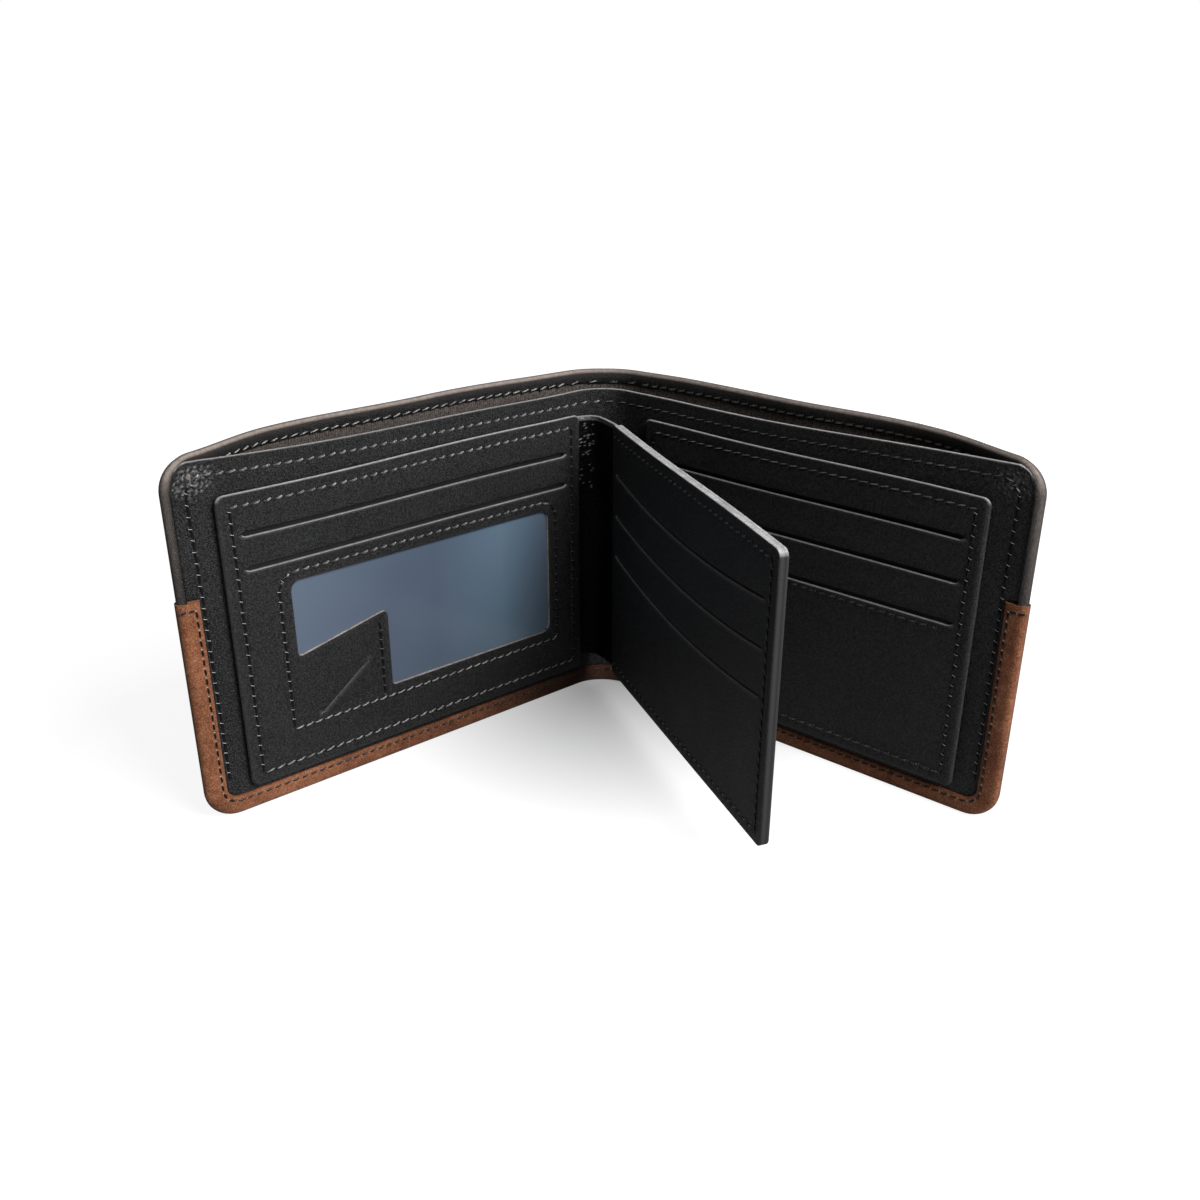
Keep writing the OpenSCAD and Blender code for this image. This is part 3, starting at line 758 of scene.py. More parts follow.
@dataclass
class Shell:
    """The vertices and faces of one closed piece, in panel coordinates."""

    points: list[Array] = field(default_factory=list)
    wear_and_painted_light: list[Array] = field(default_factory=list)
    faces: list[tuple[int, ...]] = field(default_factory=list)
    finish: list[int] = field(default_factory=list)
    size: int = 0

    def add(self, chart: Array, y: object, wear_and_painted_light: object = 0.0) -> Array:
        """Adds points at panel places and a level.

        Args:
            chart: Their s and z.
            y: Their level, one or each.
            wear_and_painted_light: How much rubbing and painted highlight or shade they carry, one or each.

        Returns:
            Their numbers.
        """
        level = np.broadcast_to(np.asarray(y, float), len(chart))
        self.points.append(np.column_stack([chart[:, 0], level, chart[:, 1]]))
        self.wear_and_painted_light.append(np.broadcast_to(np.asarray(wear_and_painted_light, float), len(chart)))
        ids = np.arange(self.size, self.size + len(chart))
        self.size += len(chart)
        return ids

    def band(self, first: Array, second: Array, finish: int | Array = 0, closed: bool = True) -> None:
        """Joins two rows of points with quads, of one finish or one for each point."""
        count = len(first) if closed else len(first) - 1
        kinds = np.broadcast_to(finish, len(first))
        for i in range(count):
            j = (i + 1) % len(first)
            self.faces.append((int(first[i]), int(first[j]), int(second[j]), int(second[i])))
            self.finish.append(int(kinds[i]))

    def fill(self, outer: Array, holes: Sequence[Array], grid: Array, level: Callable[[Array], Array],
             inside_rub_and_highlight: Callable[[Array], Array] | None = None) -> None:
        """Fills the space between loops of existing points.

        Args:
            outer: The outer loop's numbers.
            holes: The holes' numbers.
            grid: Places of new points inside.
            level: The level at given places.
            inside_rub_and_highlight: How much rubbing and painted highlight the new points carry.
        """
        known = np.vstack(self.points)[:, [0, 2]]
        loops = [outer, *holes]
        fresh = self.add(grid, level(grid), inside_rub_and_highlight(grid) if inside_rub_and_highlight else 0.0) if len(grid) else np.array([], int)
        ids = np.concatenate([*loops, fresh]).astype(int)
        flat = np.vstack([known[np.concatenate(loops)], grid]) if len(grid) else known[np.concatenate(loops)]
        edges, start = [], 0
        for loop in loops:
            edges += [(start + i, start + (i + 1) % len(loop)) for i in range(len(loop))]
            start += len(loop)
        result = delaunay_2d_cdt([Vector(p) for p in flat / MM], edges, [], 0, 1e-5)
        corner = np.array([ids[o[0]] if o else -1 for o in result[3]])
        flats = np.array([list(v) for v in result[0]]) * MM
        triangles = np.array([f for f in result[2] if len(f) == 3])
        middle = flats[triangles].mean(axis=1)
        keep = inside(middle, known[outer])
        for hole in holes:
            keep &= ~inside(middle, known[hole])
        for face in corner[triangles[keep]]:
            if min(face) >= 0:
                self.faces.append(tuple(int(i) for i in face))
                self.finish.append(0)

    def build(self, name: str, place: Callable, finishes: Sequence[Finish]) -> bpy.types.Object:
        """Makes the object.

        Args:
            name: The piece's name.
            place: Turns panel coordinates into world points.
            finishes: Its materials.

        Returns:
            The new object.
        """
        local = np.vstack(self.points)
        mesh = bpy.data.meshes.new(name)
        mesh.from_pydata(place(local[:, 0], local[:, 1], local[:, 2]).tolist(), [], self.faces)
        mesh.polygons.foreach_set("material_index", self.finish)
        chart = mesh.uv_layers.new(name="panel")
        corners = np.zeros(len(mesh.loops), int)
        mesh.loops.foreach_get("vertex_index", corners)
        chart.data.foreach_set("uv", local[corners][:, [0, 2]].ravel())
        # The carried value is edge rubbing plus painted highlight or shade.
        rub_and_painted_light = mesh.attributes.new("wear_and_painted_light", "FLOAT", "POINT")
        rub_and_painted_light.data.foreach_set("value", np.concatenate(self.wear_and_painted_light))
        return finished(name, mesh, finishes)


def shown(name: str, data: bpy.types.ID) -> bpy.types.Object:
    """Puts a new object into the scene."""
    made = bpy.data.objects.new(name, data)
    bpy.context.scene.collection.objects.link(made)
    return made


def finished(name: str, mesh: bpy.types.Mesh, finishes: Sequence[Finish]) -> bpy.types.Object:
    """Turns a mesh into a shown object with smooth faces that look outward."""
    work = bmesh.new()
    work.from_mesh(mesh)
    bmesh.ops.recalc_face_normals(work, faces=work.faces)
    if work.calc_volume(signed=True) < 0:
        bmesh.ops.reverse_faces(work, faces=work.faces)
    work.to_mesh(mesh)
    work.free()
    mesh.shade_smooth()
    mesh.set_sharp_from_angle(angle=math.radians(SHARP_DEGREES))
    for finish in finishes:
        mesh.materials.append(finish.material())
    return shown(name, mesh)


def grid_points(loop: Array, holes: Iterable[Array], step: float, extra: Array) -> Array:
    """Mesh points inside a loop and clear of its holes, with the extra ones kept free of the rest."""
    low, high = loop.min(axis=0), loop.max(axis=0)
    axes = [np.arange(low[i] + step / 2, high[i], step) for i in (0, 1)]
    lattice = np.stack(np.meshgrid(*axes, indexing="ij"), axis=-1).reshape(-1, 2)
    lattice[:, 0] += np.where((np.round((lattice[:, 1] - low[1]) / step - 0.5) % 2) > 0, step / 4, -step / 4)
    if len(extra):
        from_extra = np.array([np.abs(extra - p).max(axis=1).min() for p in lattice])
        lattice = lattice[from_extra > 0.55 * step]
        _, first = np.unique(np.round(extra / (0.25 * MM)), axis=0, return_index=True)
        lattice = np.vstack([lattice, extra[np.sort(first)]])
    keep = inside(lattice, loop) & (nearest(lattice, ring(loop))[0] > EDGE_CLEAR)
    for hole in holes:
        keep &= ~inside(lattice, hole) & (nearest(lattice, ring(hole))[0] > EDGE_CLEAR)
    return lattice[keep]


@dataclass
class Plate:
    """A leather sheet cut from an outline, with shaped edges, cut openings and sewn seams.

    The profile gives the edge's cross-section, from the front face round to the back, as pairs of
    distance inward from the outline and level. It is one for the whole outline or one for each point.

    Attributes:
        pull: The inward direction at each outline point, where it isn't the mitre.
        step: The mesh step of the front face.
        rim_from: The ring of the edge from which it has the second finish; past the last one for none.
        wear_and_painted_light: How much rubbing and painted highlight or shade each ring of the edge carries,
            one row or one for each outline point.
        crease: How far the front face is moved at given places.
        face_rub_and_highlight: How much rubbing and painted highlight the front face carries at given places.
        fine: Extra mesh points of the front face.
        turn_to: How far from the fold the sheet is meshed in columns, so that it bends evenly.
    """

    name: str
    outline: Array
    profile: Array
    pull: Array | None = None
    cuts: Sequence[Cut] = ()
    seams: Sequence[Seam] = ()
    step: float = 1.3 * MM
    rim_from: int = 99
    wear_and_painted_light: Sequence[float] = ()
    crease: Callable[[Array], Array] | None = None
    face_rub_and_highlight: Callable[[Array], Array] | None = None
    fine: Array | None = None
    turn_to: float = 0.0

    def columns(self) -> Array:
        """Mesh points in even columns, from the fold to where the sheet has stopped bending."""
        low, high = self.outline[:, 1].min(), self.outline[:, 1].max()
        axes = (np.arange(FOLD_STEP, self.turn_to, FOLD_STEP), np.arange(low + FOLD_STEP, high, self.step))
        return np.stack(np.meshgrid(*axes, indexing="ij"), axis=-1).reshape(-1, 2)

    def relief(self, points: Array) -> Array:
        """How far the front face is moved at each place."""
        out = np.zeros(len(points))
        for shaped in (*self.seams, *self.cuts):
            out += shaped.relief(points)
        return out + self.crease(points) if self.crease else out

    def shell(self) -> Shell:
        """Builds the sheet's faces."""
        shell = Shell()
        pull = inward(self.outline) if self.pull is None else self.pull
        profile = np.broadcast_to(self.profile, (len(self.outline), *self.profile.shape[-2:]))
        rub_and_painted_light = np.zeros((len(self.outline), profile.shape[1]))
        if len(self.wear_and_painted_light):
            given = np.atleast_2d(np.asarray(self.wear_and_painted_light, float))
            rub_and_painted_light[:, :given.shape[1]] = given
        rings = []
        for j in range(profile.shape[1]):
            chart = self.outline + pull * profile[:, j, :1]
            share = 1 - j / (profile.shape[1] - 1)
            rings.append(shell.add(chart, profile[:, j, 1] + share * self.relief(chart), rub_and_painted_light[:, j]))
        for j, (a, b) in enumerate(zip(rings, rings[1:])):
            shell.band(a, b, 1 if j >= self.rim_from else 0)
        front, back = float(profile[:, 0, 1].mean()), float(profile[:, -1, 1].mean())
        lips = [cut.loop - inward(cut.loop) * cut.lip for cut in self.cuts]
        opened = [self.line_cut(shell, cut, lip, front, back) for cut, lip in zip(self.cuts, lips)]
        guides = [shaped.guides() for shaped in (*self.seams, *self.cuts)]
        columns = self.columns()
        extra = np.vstack([*guides, columns, np.zeros((0, 2)) if self.fine is None else self.fine])
        edge = self.outline + pull * profile[:, 0, :1]
        grid = grid_points(edge, lips, self.step, extra)
        shell.fill(rings[0], [rows[0] for rows in opened], grid,
                   lambda points: front + self.relief(points), inside_rub_and_highlight=self.face_rub_and_highlight)
        edge = self.outline + pull * profile[:, -1, :1]
        coarse = grid_points(edge, [c.loop for c in self.cuts], self.step * BACK_COARSER, columns)
        shell.fill(rings[-1], [rows[1] for rows in opened], coarse, lambda points: np.full(len(points), back))
        return shell

    def line_cut(self, shell: Shell, cut: Cut, lip: Array, front: float,
                 back: float) -> tuple[Array, Array]:
        """Lines one cut with its rounded lip and its wall.

        Args:
            shell: Where the faces go.
            cut: The cut.
            lip: The loop where the lip starts.
            front: The level of the front face.
            back: The level of the back face.

        Returns:
            The numbers of the cut's loops in the front and in the back face.
        """
        depth, edge = min(cut.lip, (back - front) / 3), cut.rub_and_painted_light()
        raw = np.zeros(len(lip), int) if cut.raw is None else cut.raw.astype(int)
        levels = [(lip, front, edge * 0.15), (lip + (cut.loop - lip) * 0.7, front + depth * 0.3, edge),
                  (cut.loop, front + depth, edge), (cut.loop, back, 0)]
        rows = [shell.add(at, y + (self.relief(at) if k < 3 else 0), w)
                for k, (at, y, w) in enumerate(levels)]
        for k, (a, b) in enumerate(zip(rows, rows[1:])):
            shell.band(a, b, raw if k >= 1 else 0)
        return rows[0], rows[-1]

    def make(self, place: Callable, finishes: Sequence[Finish]) -> bpy.types.Object:
        """Makes the sheet's object."""
        return self.shell().build(self.name, place, finishes)


# ---------------------------------------------------------------- stitching


class StitchTree:
    """The geometry nodes that sew one thread loop at every given point."""

    INPUTS = {
        "Geometry": ("NodeSocketGeometry", None), "Length": ("NodeSocketFloat", 2.2 * MM),
        "Thickness": ("NodeSocketFloat", 0.32 * MM), "Dip": ("NodeSocketFloat", 0.35 * MM),
        "Rise": ("NodeSocketFloat", 0.4 * MM), "Tick": ("NodeSocketFloat", 0.42 * MM),
        "Hole": ("NodeSocketFloat", 0.4 * MM), "Slant": ("NodeSocketFloat", 0.3),
        "Jitter": ("NodeSocketFloat", 0.08), "Seed": ("NodeSocketInt", 7),
        "Material": ("NodeSocketMaterial", None)}

    def __init__(self) -> None:
        """Builds the node group."""
        self.tree = tree = bpy.data.node_groups.new("Stitches", "GeometryNodeTree")
        for name, (kind, value) in self.INPUTS.items():
            socket = tree.interface.new_socket(name, in_out="INPUT", socket_type=kind)
            if value is not None:
                socket.default_value = value
        tree.interface.new_socket("Geometry", in_out="OUTPUT", socket_type="NodeSocketGeometry")
        self.g = g = Graph(tree)
        self.given = given = tree.nodes.new("NodeGroupInput").outputs
        sewn = g.add("GeometryNodeInstanceOnPoints", {
            "Points": given["Geometry"], "Instance": self.stitch(), "Rotation": self.turned(),
            "Scale": self.point(self.carried("stretch"), 1.0, 1.0)})
        real = g.add("GeometryNodeRealizeInstances", {0: sewn.outputs[0]})
        dressed = g.add("GeometryNodeSetMaterial", {
            "Geometry": real.outputs[0], "Material": given["Material"]})
        tree.links.new(dressed.outputs[0], tree.nodes.new("NodeGroupOutput").inputs[0])

    def point(self, x: object, z: object, y: object = 0.0) -> Socket:
        """A place in the stitch's own frame: x along the row, z off the leather."""
        return self.g.add("ShaderNodeCombineXYZ", {"X": x, "Y": y, "Z": z}).outputs[0]

    def carried(self, name: str, kind: str = "FLOAT") -> Socket:
        """A value that the points carry."""
        return self.g.add("GeometryNodeInputNamedAttribute", {"Name": name}, data_type=kind).outputs[0]

    def mark(self, shape: object, glint: float) -> Socket:
        """Marks a shape with how it takes the light: 1 a glint, 0 thread, -1 a hole."""
        return self.g.add("GeometryNodeStoreNamedAttribute", {
            "Geometry": shape, "Name": "glint", "Value": glint}, data_type="FLOAT", domain="POINT").outputs[0]

    def strand(self, start: object, middle: object, end: object, radius: object, sides: int) -> Socket:
        """A piece of thread bent between two points."""
        path = self.g.add("GeometryNodeCurveQuadraticBezier", {
            "Resolution": sides, "Start": start, "Middle": middle, "End": end})
        circle = self.g.add("GeometryNodeCurvePrimitiveCircle", {"Resolution": sides, "Radius": radius})
        return self.g.add("GeometryNodeCurveToMesh", {
            "Curve": path.outputs[0], "Profile Curve": circle.outputs[0], "Fill Caps": True}).outputs[0]

    def stitch(self) -> Socket:
        """One stitch: a thread loop, a short painted glint across its end and a dark bead that paints the
        needle hole's shade.
        """
        g, given, point = self.g, self.given, self.point
        half, below = g.times(given["Length"], 0.5), g.times(given["Dip"], -1.0)
        loop = self.strand(point(g.times(half, -1.0), below), point(0.0, given["Rise"]),
                           point(half, below), given["Thickness"], 5)
        off, flat = given["Tick"], g.times(given["Tick"], -0.25)
        tick = self.strand(point(g.times(half, 1.02), flat, g.times(off, -1.0)),
                           point(g.times(half, 1.2), g.times(off, 0.6)),
                           point(g.times(half, 1.38), flat, off), g.times(given["Thickness"], 0.2), 3)
        # The flattened dark bead is painted shade in the needle hole.
        bead = g.add("GeometryNodeMeshUVSphere", {"Segments": 6, "Rings": 4, "Radius": given["Hole"]})
        pit = g.add("GeometryNodeTransform", {
            "Geometry": bead.outputs[0], "Translation": point(g.times(half, 1.15), g.times(below, 0.3)),
            "Scale": (1.0, 1.0, 0.35)}).outputs[0]
        every = g.add("GeometryNodeJoinGeometry")
        for shape in (self.mark(pit, -1.0), self.mark(tick, 1.0), self.mark(loop, 0.0)):
            g.tree.links.new(shape, every.inputs[0])
        return every.outputs[0]

    def turned(self) -> Socket:
        """Each stitch's rotation: along its row, leaning a little at random."""
        g, given = self.g, self.given
        turn = g.add("FunctionNodeAxesToRotation", {
            "Primary Axis": self.carried("up", "FLOAT_VECTOR"),
            "Secondary Axis": self.carried("way", "FLOAT_VECTOR")}, primary_axis="Z", secondary_axis="X")
        lean = g.times(given["Slant"], g.math("ADD", 0.3, g.times(self.carried("shine"), 0.7)))
        spread = g.add("FunctionNodeRandomValue", {
            2: g.math("SUBTRACT", lean, given["Jitter"]),
            3: g.math("ADD", lean, given["Jitter"]), "Seed": given["Seed"]}, data_type="FLOAT")
        tilt = g.add("FunctionNodeEulerToRotation", {0: self.point(0.0, spread.outputs[1])})
        return g.add("FunctionNodeRotateRotation", {0: turn.outputs[0], 1: tilt.outputs[0]},
                     rotation_space="LOCAL").outputs[0]


@dataclass
class StitchWork:
    """All the stitches that move with one part of the wallet."""

    name: str
    spots: list[Array] = field(default_factory=list)
    ways: list[Array] = field(default_factory=list)
    ups: list[Array] = field(default_factory=list)
    lengths: list[Array] = field(default_factory=list)
    shines: list[Array] = field(default_factory=list)
    shine: float = 1.0

    def sew(self, seam: Seam, place: Callable, facing: float = -1, raised: float = 0.0,
            shine: float = 1.0) -> None:
        """Adds a seam.

        Args:
            seam: Its path.
            place: Turns panel coordinates into world points.
            facing: -1 where the seam shows on the inside, 1 on the outside.
            raised: How far the thread lies above the seam's level.
            shine: How much its level stitches catch the light.
        """
        here, there = seam.centres()
        level = seam.level + facing * raised
        spots = place(here[:, 0], level, here[:, 1])
        way = place(there[:, 0], level, there[:, 1]) - spots
        up = place(here[:, 0], level + facing * 0.5 * MM, here[:, 1]) - spots
        self.spots.append(spots)
        self.ways.append(way / np.linalg.norm(way, axis=1)[:, None])
        self.ups.append(up / np.linalg.norm(up, axis=1)[:, None])
        self.lengths.append(np.full(len(spots), seam.spacing() / Seam.pitch))
        self.shines.append(np.full(len(spots), shine * self.shine))

    def make(self, tree: StitchTree, finish: Finish) -> bpy.types.Object:
        """Makes one plain mesh of all the stitches."""
        mesh = bpy.data.meshes.new(self.name + "_points")
        mesh.from_pydata(np.vstack(self.spots).tolist(), [], [])
        for name, rows in (("way", self.ways), ("up", self.ups)):
            mesh.attributes.new(name, "FLOAT_VECTOR", "POINT").data.foreach_set(
                "vector", np.vstack(rows).astype(np.float32).ravel())
        level = smooth_step((0.8 - np.abs(np.vstack(self.ways)[:, 2])) / 0.4) * np.concatenate(self.shines)
        for name, values in (("stretch", np.concatenate(self.lengths)), ("shine", level)):
            mesh.attributes.new(name, "FLOAT", "POINT").data.foreach_set("value", values.astype(np.float32))
        source = shown(self.name + "_points", mesh)
        modifier = source.modifiers.new("Stitches", "NODES")
        modifier.node_group = tree.tree
        sockets = {s.name: s.identifier for s in tree.tree.interface.items_tree if s.in_out == "INPUT"}
        modifier[sockets["Material"]] = finish.material()
        source.update_tag()
        graph = bpy.context.evaluated_depsgraph_get()
        made = bpy.data.meshes.new_from_object(source.evaluated_get(graph), depsgraph=graph)
        made.name = self.name
        bpy.data.objects.remove(source)
        for attribute in ("way", "up", "stretch"):
            if attribute in made.attributes:
                made.attributes.remove(made.attributes[attribute])
        return finished(self.name, made, [])


# ---------------------------------------------------------------- the wallet


@dataclass
class Wallet:
    """What every sub-assembly shares: the panels' frames and the stitch tree."""

    axis: Array
    panels: dict[Side, PanelFrame]
    leaf: PanelFrame
    stitches: StitchTree

    @classmethod
    def from_frame(cls) -> "Wallet":
        """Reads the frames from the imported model."""
        place = frame["joints"][0]["pos_m"]
        axis = np.array([place[0], place[1], 0.0])
        return cls(axis, {side: PanelFrame.of_panel(side, axis) for side in Side},
                   PanelFrame.of_leaf(axis), StitchTree())

    def keep(self, piece: bpy.types.Object, slot: Slot, replaces: Sequence[str] = ()) -> None:
        """Hides the CAD nodes that a piece stands for, and logs its face count."""
        if replaces:
            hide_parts(*replaces)
        log.info("%s: %d faces", piece.name, len(piece.data.polygons))

    def bend(self, piece: bpy.types.Object, side: Side) -> bpy.types.Object:
        """Bakes a piece's transform into its mesh, the same for either side."""
        panel = self.panels[side]
        edge = panel.place(np.array([panel.fold_start]), 0.0, 0.0)[0]
        if side is Side.LEFT:
            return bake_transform(piece)
        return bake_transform(piece)


def edge_profile(front: float, back: float, radius: float, soft: float, heel: float = 0.3) -> Array:
    """A thin sheet's edge: a soft front corner and a tighter back one."""
    a = np.radians(np.array([0, 30, 60, 90]))
    rows = [(radius * (1 - math.sin(t)), front + soft * (1 - math.cos(t))) for t in a]
    tight = min(heel * radius, (back - front - soft) * 0.5)
    return np.array([(radius * 1.6, front), *rows, (0, back - tight), (tight, back)])


def crisp_top(soft: Array, crisp: Array, pull: Array) -> Array:
    """One profile for each outline point: crisp where the edge looks up, soft elsewhere."""
    return soft + (crisp - soft) * np.clip(-pull[:, 1], 0, 1)[:, None, None]


def hem_profile(front: float, back: float, inner: float, width: float, nose: float) -> Array:
    """A turned edge: up the raw edge of the turned leather, over it, round the nose to the back."""
    middle, half = (front + back) / 2, (back - front) / 2
    rows = [(width + 0.4 * MM, inner), (width, inner), (width, front + 0.25 * MM),
            (width - 0.3 * MM, front), ((width + nose) / 2, front - 0.08 * MM)]
    rows += [(nose * (1 - math.cos(t)), middle - half * math.sin(t))
             for t in np.radians(np.linspace(90, -90, 11))]
    return np.array([*rows, (nose + 1.2 * MM, back)])


def edged(*runs: tuple[Array, object, Array]) -> tuple[Array, Array, Array]:
    """Joins stretches of an outline that have different edges.

    Args:
        runs: Each stretch's points, its inward pull and its cross-section; the pull and the
            cross-section are one for the stretch or one for each point.

    Returns:
        The outline, and the pull and the cross-section of each of its points.
    """
    pulls = [np.broadcast_to(np.asarray(pull, float), path.shape) for path, pull, _ in runs]
    rows = [np.broadcast_to(profile, (len(path), *profile.shape[-2:])) for path, _, profile in runs]
    return np.vstack([run[0] for run in runs]), np.vstack(pulls), np.concatenate(rows)


@dataclass
class CoverHalf:
    """One half of the cover, spine included: smooth upper, suede band and lining, bowed for notes.

    Levels are measured from the inner panel's back, outward; hems are widths of turned leather.
    """

    wallet: Wallet
    side: Side
    gap: float = 8 * MM
    belly: float = 5 * MM
    gap_at_fold: float = 4 * MM
    flat_from: float = 121.5 * MM
    upper_hem: float = 2.3 * MM
    band_hem: float = 5.6 * MM
    top_hem: float = 4.2 * MM
    nose: float = 2.0 * MM
    top_nose: float = 1.1 * MM
    band_nose: float = 2.2 * MM
    top_radius: float = 8.5 * MM
    bottom_radius: float = 9.0 * MM
    overlap: float = 4.0 * MM
    seam_drop: float = 2.1 * MM
    top_seam_drop: float = 3.6 * MM
    side_inset: float = 4.4 * MM
    spine_shade: float = 48 * MM
    inner: float = 0.4 * MM
    side_front: float = -1.3 * MM
    top_front: float = -0.35 * MM
    band_front: float = -1.4 * MM
    upper_back: float = 1.6 * MM
    band_back: float = 2.0 * MM
    pitch: float = 2.6 * MM
    thread_lift: float = 0.02 * MM

    def __post_init__(self) -> None:
        """Reads the cover's sizes from its CAD nodes."""
        name = self.side.name.lower()
        self.panel = self.wallet.panels[self.side]
        self.inner_back = self.panel.read(f"inner_panel_{name}")[1][1]
        self.reach, _, self.height = self.panel.read(f"cover_upper_{name}")[1]
        self.band_reach, _, self.band_top = self.panel.read(f"cover_band_{name}")[1]
        self.name = name

    def bow(self, s: Array, z: Array) -> Array:
        """How far the cover stands off the inner panel."""
        at_fold = math.asin(self.gap_at_fold / self.gap)
        part = np.clip(s / self.flat_from, 0, 1)
        across = np.where(part >= 1, 0, self.gap * np.sin(at_fold + (math.pi - at_fold) * part))
        belly = self.belly if self.side is Side.LEFT else 0.6 * self.belly
        across = across + belly * smooth_step((part - 0.42) / 0.34) * smooth_step((1 - part) / 0.22)
        rise = np.clip((z - self.top_hem) / (self.height - self.top_hem), 0, 1)
        return across * np.sin(math.pi / 2 * rise)

    def place(self, s: Array, depth: Array, z: Array) -> Array:
        """World points at a depth behind the inner panel, bow included."""
        return self.panel.place(s, self.inner_back + depth + self.bow(np.asarray(s), np.asarray(z)), z)

    def upper(self) -> None:
        """The smooth leather of the upper half, turned over at the top and the side."""
        low, top, reach, r = self.band_top - self.overlap, self.height, self.reach, self.top_radius
        step, turn, centre = EDGE_STEP, self.panel.bend_end, np.array([reach - r, top - r])
        bottom = fine_at_fold(densify(np.array([(0, low), (reach - 8 * MM, low)]), 2 * step), turn)
        side = densify(np.array([(reach, low), (reach, top - r)]), step)[:-1]
        corner = arc((reach - r, top - r), r, 0, 90, 12)
        over = fine_at_fold(densify(np.array([(reach - r, top), (0, top)]), step), turn)[1:]
        down = densify(np.array([(0, top), (0, low)]), 2 * step)[1:-1]
        hem_side = hem_profile(self.side_front, self.upper_back, self.inner, self.upper_hem, self.nose)
        hem_top = hem_profile(self.top_front, self.upper_back, self.inner, self.top_hem, self.top_nose)
        plain = self.plain(len(hem_top), self.upper_back)
        away = (centre - corner) / r
        part = smooth_step(np.degrees(np.arctan2(-away[:, 1], -away[:, 0])) / 90)[:, None, None]
        outline, pulls, rows = edged(
            (bottom, (0, 0), plain), (side, (-1, 0), hem_side),
            (corner, away, hem_side * (1 - part) + hem_top * part), (over, (0, -1), hem_top),
            (down, (0, 0), plain))
        # Painted highlight of the rolled rim: full along the top, fainter down the side and stronger near its
        # top.
        along_top = smooth_step((outline[:, 1] - centre[1]) / (0.8 * r))[:, None]
        along_side = 0.10 + 0.22 * smooth_step((outline[:, 1:] - 0.55 * top) / (0.35 * top))
        rim = np.zeros(len(hem_top))
        rim[5:11] = (0.08, 0.65, 1, 1, 0.65, 0.1)
        plate = Plate(f"cover_upper_{self.name}_leather", outline, rows, pulls, step=COVER_STEP,
                      wear_and_painted_light=rim * (along_side + (1 - along_side) * along_top), turn_to=turn)
        piece = plate.make(self.place, [COVER_BLACK])
        self.wallet.keep(self.wallet.bend(piece, self.side), Slot.BLACK,
                         [f"cover_upper_{self.name}", f"spine_cover_{self.name}"])

    def plain(self, count: int, back: float) -> Array:
        """The cross-section of an edge that isn't turned over."""
        return np.column_stack([np.zeros(count), np.linspace(self.inner, back, count)])

    def band(self) -> None:
        """The suede band round the lower half, turned over at the side and the bottom."""
        top, reach, r = self.band_top, self.band_reach, self.bottom_radius
        step, turn = EDGE_STEP, self.panel.bend_end
        across = fine_at_fold(densify(np.array([(0, 0), (reach - r, 0)]), step), turn)[:-1]
        corner = arc((reach - r, r), r, -90, 0, 12)
        side = densify(np.array([(reach, r), (reach, top)]), step)[1:]
        over = fine_at_fold(densify(np.array([(reach - 8.5 * MM, top), (0, top)]), step), turn)
        down = densify(np.array([(0, top), (0, 0)]), 2 * step)[1:-1]
        hem = hem_profile(self.band_front, self.band_back, self.inner, self.band_hem, self.band_nose)
        lip = self.plain(len(hem), self.upper_back)
        lip[-3:] = np.array([(0.08, 1.85), (0.3, 1.98), (1.2, 2.0)]) * MM
        outline, pulls, rows = edged(
            (across, (0, 1), hem), (corner, (np.array([reach - r, r]) - corner) / r, hem),
            (side, (-1, 0), hem), (over, (0, -1), lip),
            (down, (0, 0), self.plain(len(hem), self.band_back)))
        # The rim rows darken the turned edge, partly as painted contact shadow; near the spine the lower band
        # is darkened as painted shade.
        rim = np.array([0.5, 0.5, 0.25, 0, 0, 0, 0, 0, 0, 0.1, 0.75, 1, 1, 0.9, 0.5, 0.2, 0])
        shade = 0.85 * smooth_step((self.spine_shade - outline[:, :1]) / (0.7 * self.spine_shade))
        shade = shade * (outline[:, 1:] < r)
        plate = Plate(f"cover_band_{self.name}_suede", outline, rows, pulls, step=COVER_STEP,
                      wear_and_painted_light=np.maximum(rim, shade), turn_to=turn)
        piece = plate.make(self.place, [BROWN])
        self.wallet.keep(self.wallet.bend(piece, self.side), Slot.BROWN,
                         [f"cover_band_{self.name}", f"spine_band_{self.name}"])

    def lining(self) -> None:
        """The ribbed cloth lining of the note compartment."""
        low, high = self.panel.read(f"cover_lining_{self.name}")
        z0, z1, s1, step = low[2] + 0.6 * MM, self.height - self.top_hem + 0.6 * MM, high[0], 2 * MM
        turn = self.panel.bend_end
        loop = np.array([(0, z0), (s1, z0), (s1, z1), (0, z1), (0, z0)])
        path = fine_at_fold(densify(loop, step), turn)[:-1]
        profile = np.array([(0, 0.0), (0, 0.12), (0, 0.38)]) * MM
        plate = Plate(f"note_lining_{self.name}", path, profile, np.zeros_like(path), step=COVER_STEP,
                      turn_to=turn)
        piece = plate.make(self.place, [RIBBED])
        self.wallet.keep(self.wallet.bend(piece, self.side), Slot.LINING,
                         [f"cover_lining_{self.name}", f"spine_lining_{self.name}"])
        flat_length = float(np.linalg.norm(np.diff(
            self.place(np.linspace(0, s1, 200), 0.2 * MM, (z0 + z1) / 2), axis=0), axis=1).sum())

    def stitches(self) -> None:
        """Black thread on the hems and along the band's lap."""
        work = StitchWork(f"cover_stitches_{self.name}", shine=ROW_SHINE[self.side])
        reach, r, inset, lift = self.band_reach, self.bottom_radius, self.side_inset, self.thread_lift
        corner = arc((reach - r, r), r - inset, -90, 0, 8)
        z, high = self.band_top - self.seam_drop, self.height - self.top_seam_drop
        roll, half = self.band_nose, 1.7 * MM

        def over_roll(s: Array, depth: Array, z: Array) -> Array:
            """World points on the rolled side edge."""
            out = np.clip((s - reach + roll) / roll, 0, 0.97)
            return self.place(s, depth + half * (1 - np.sqrt(1 - out * out)), z)

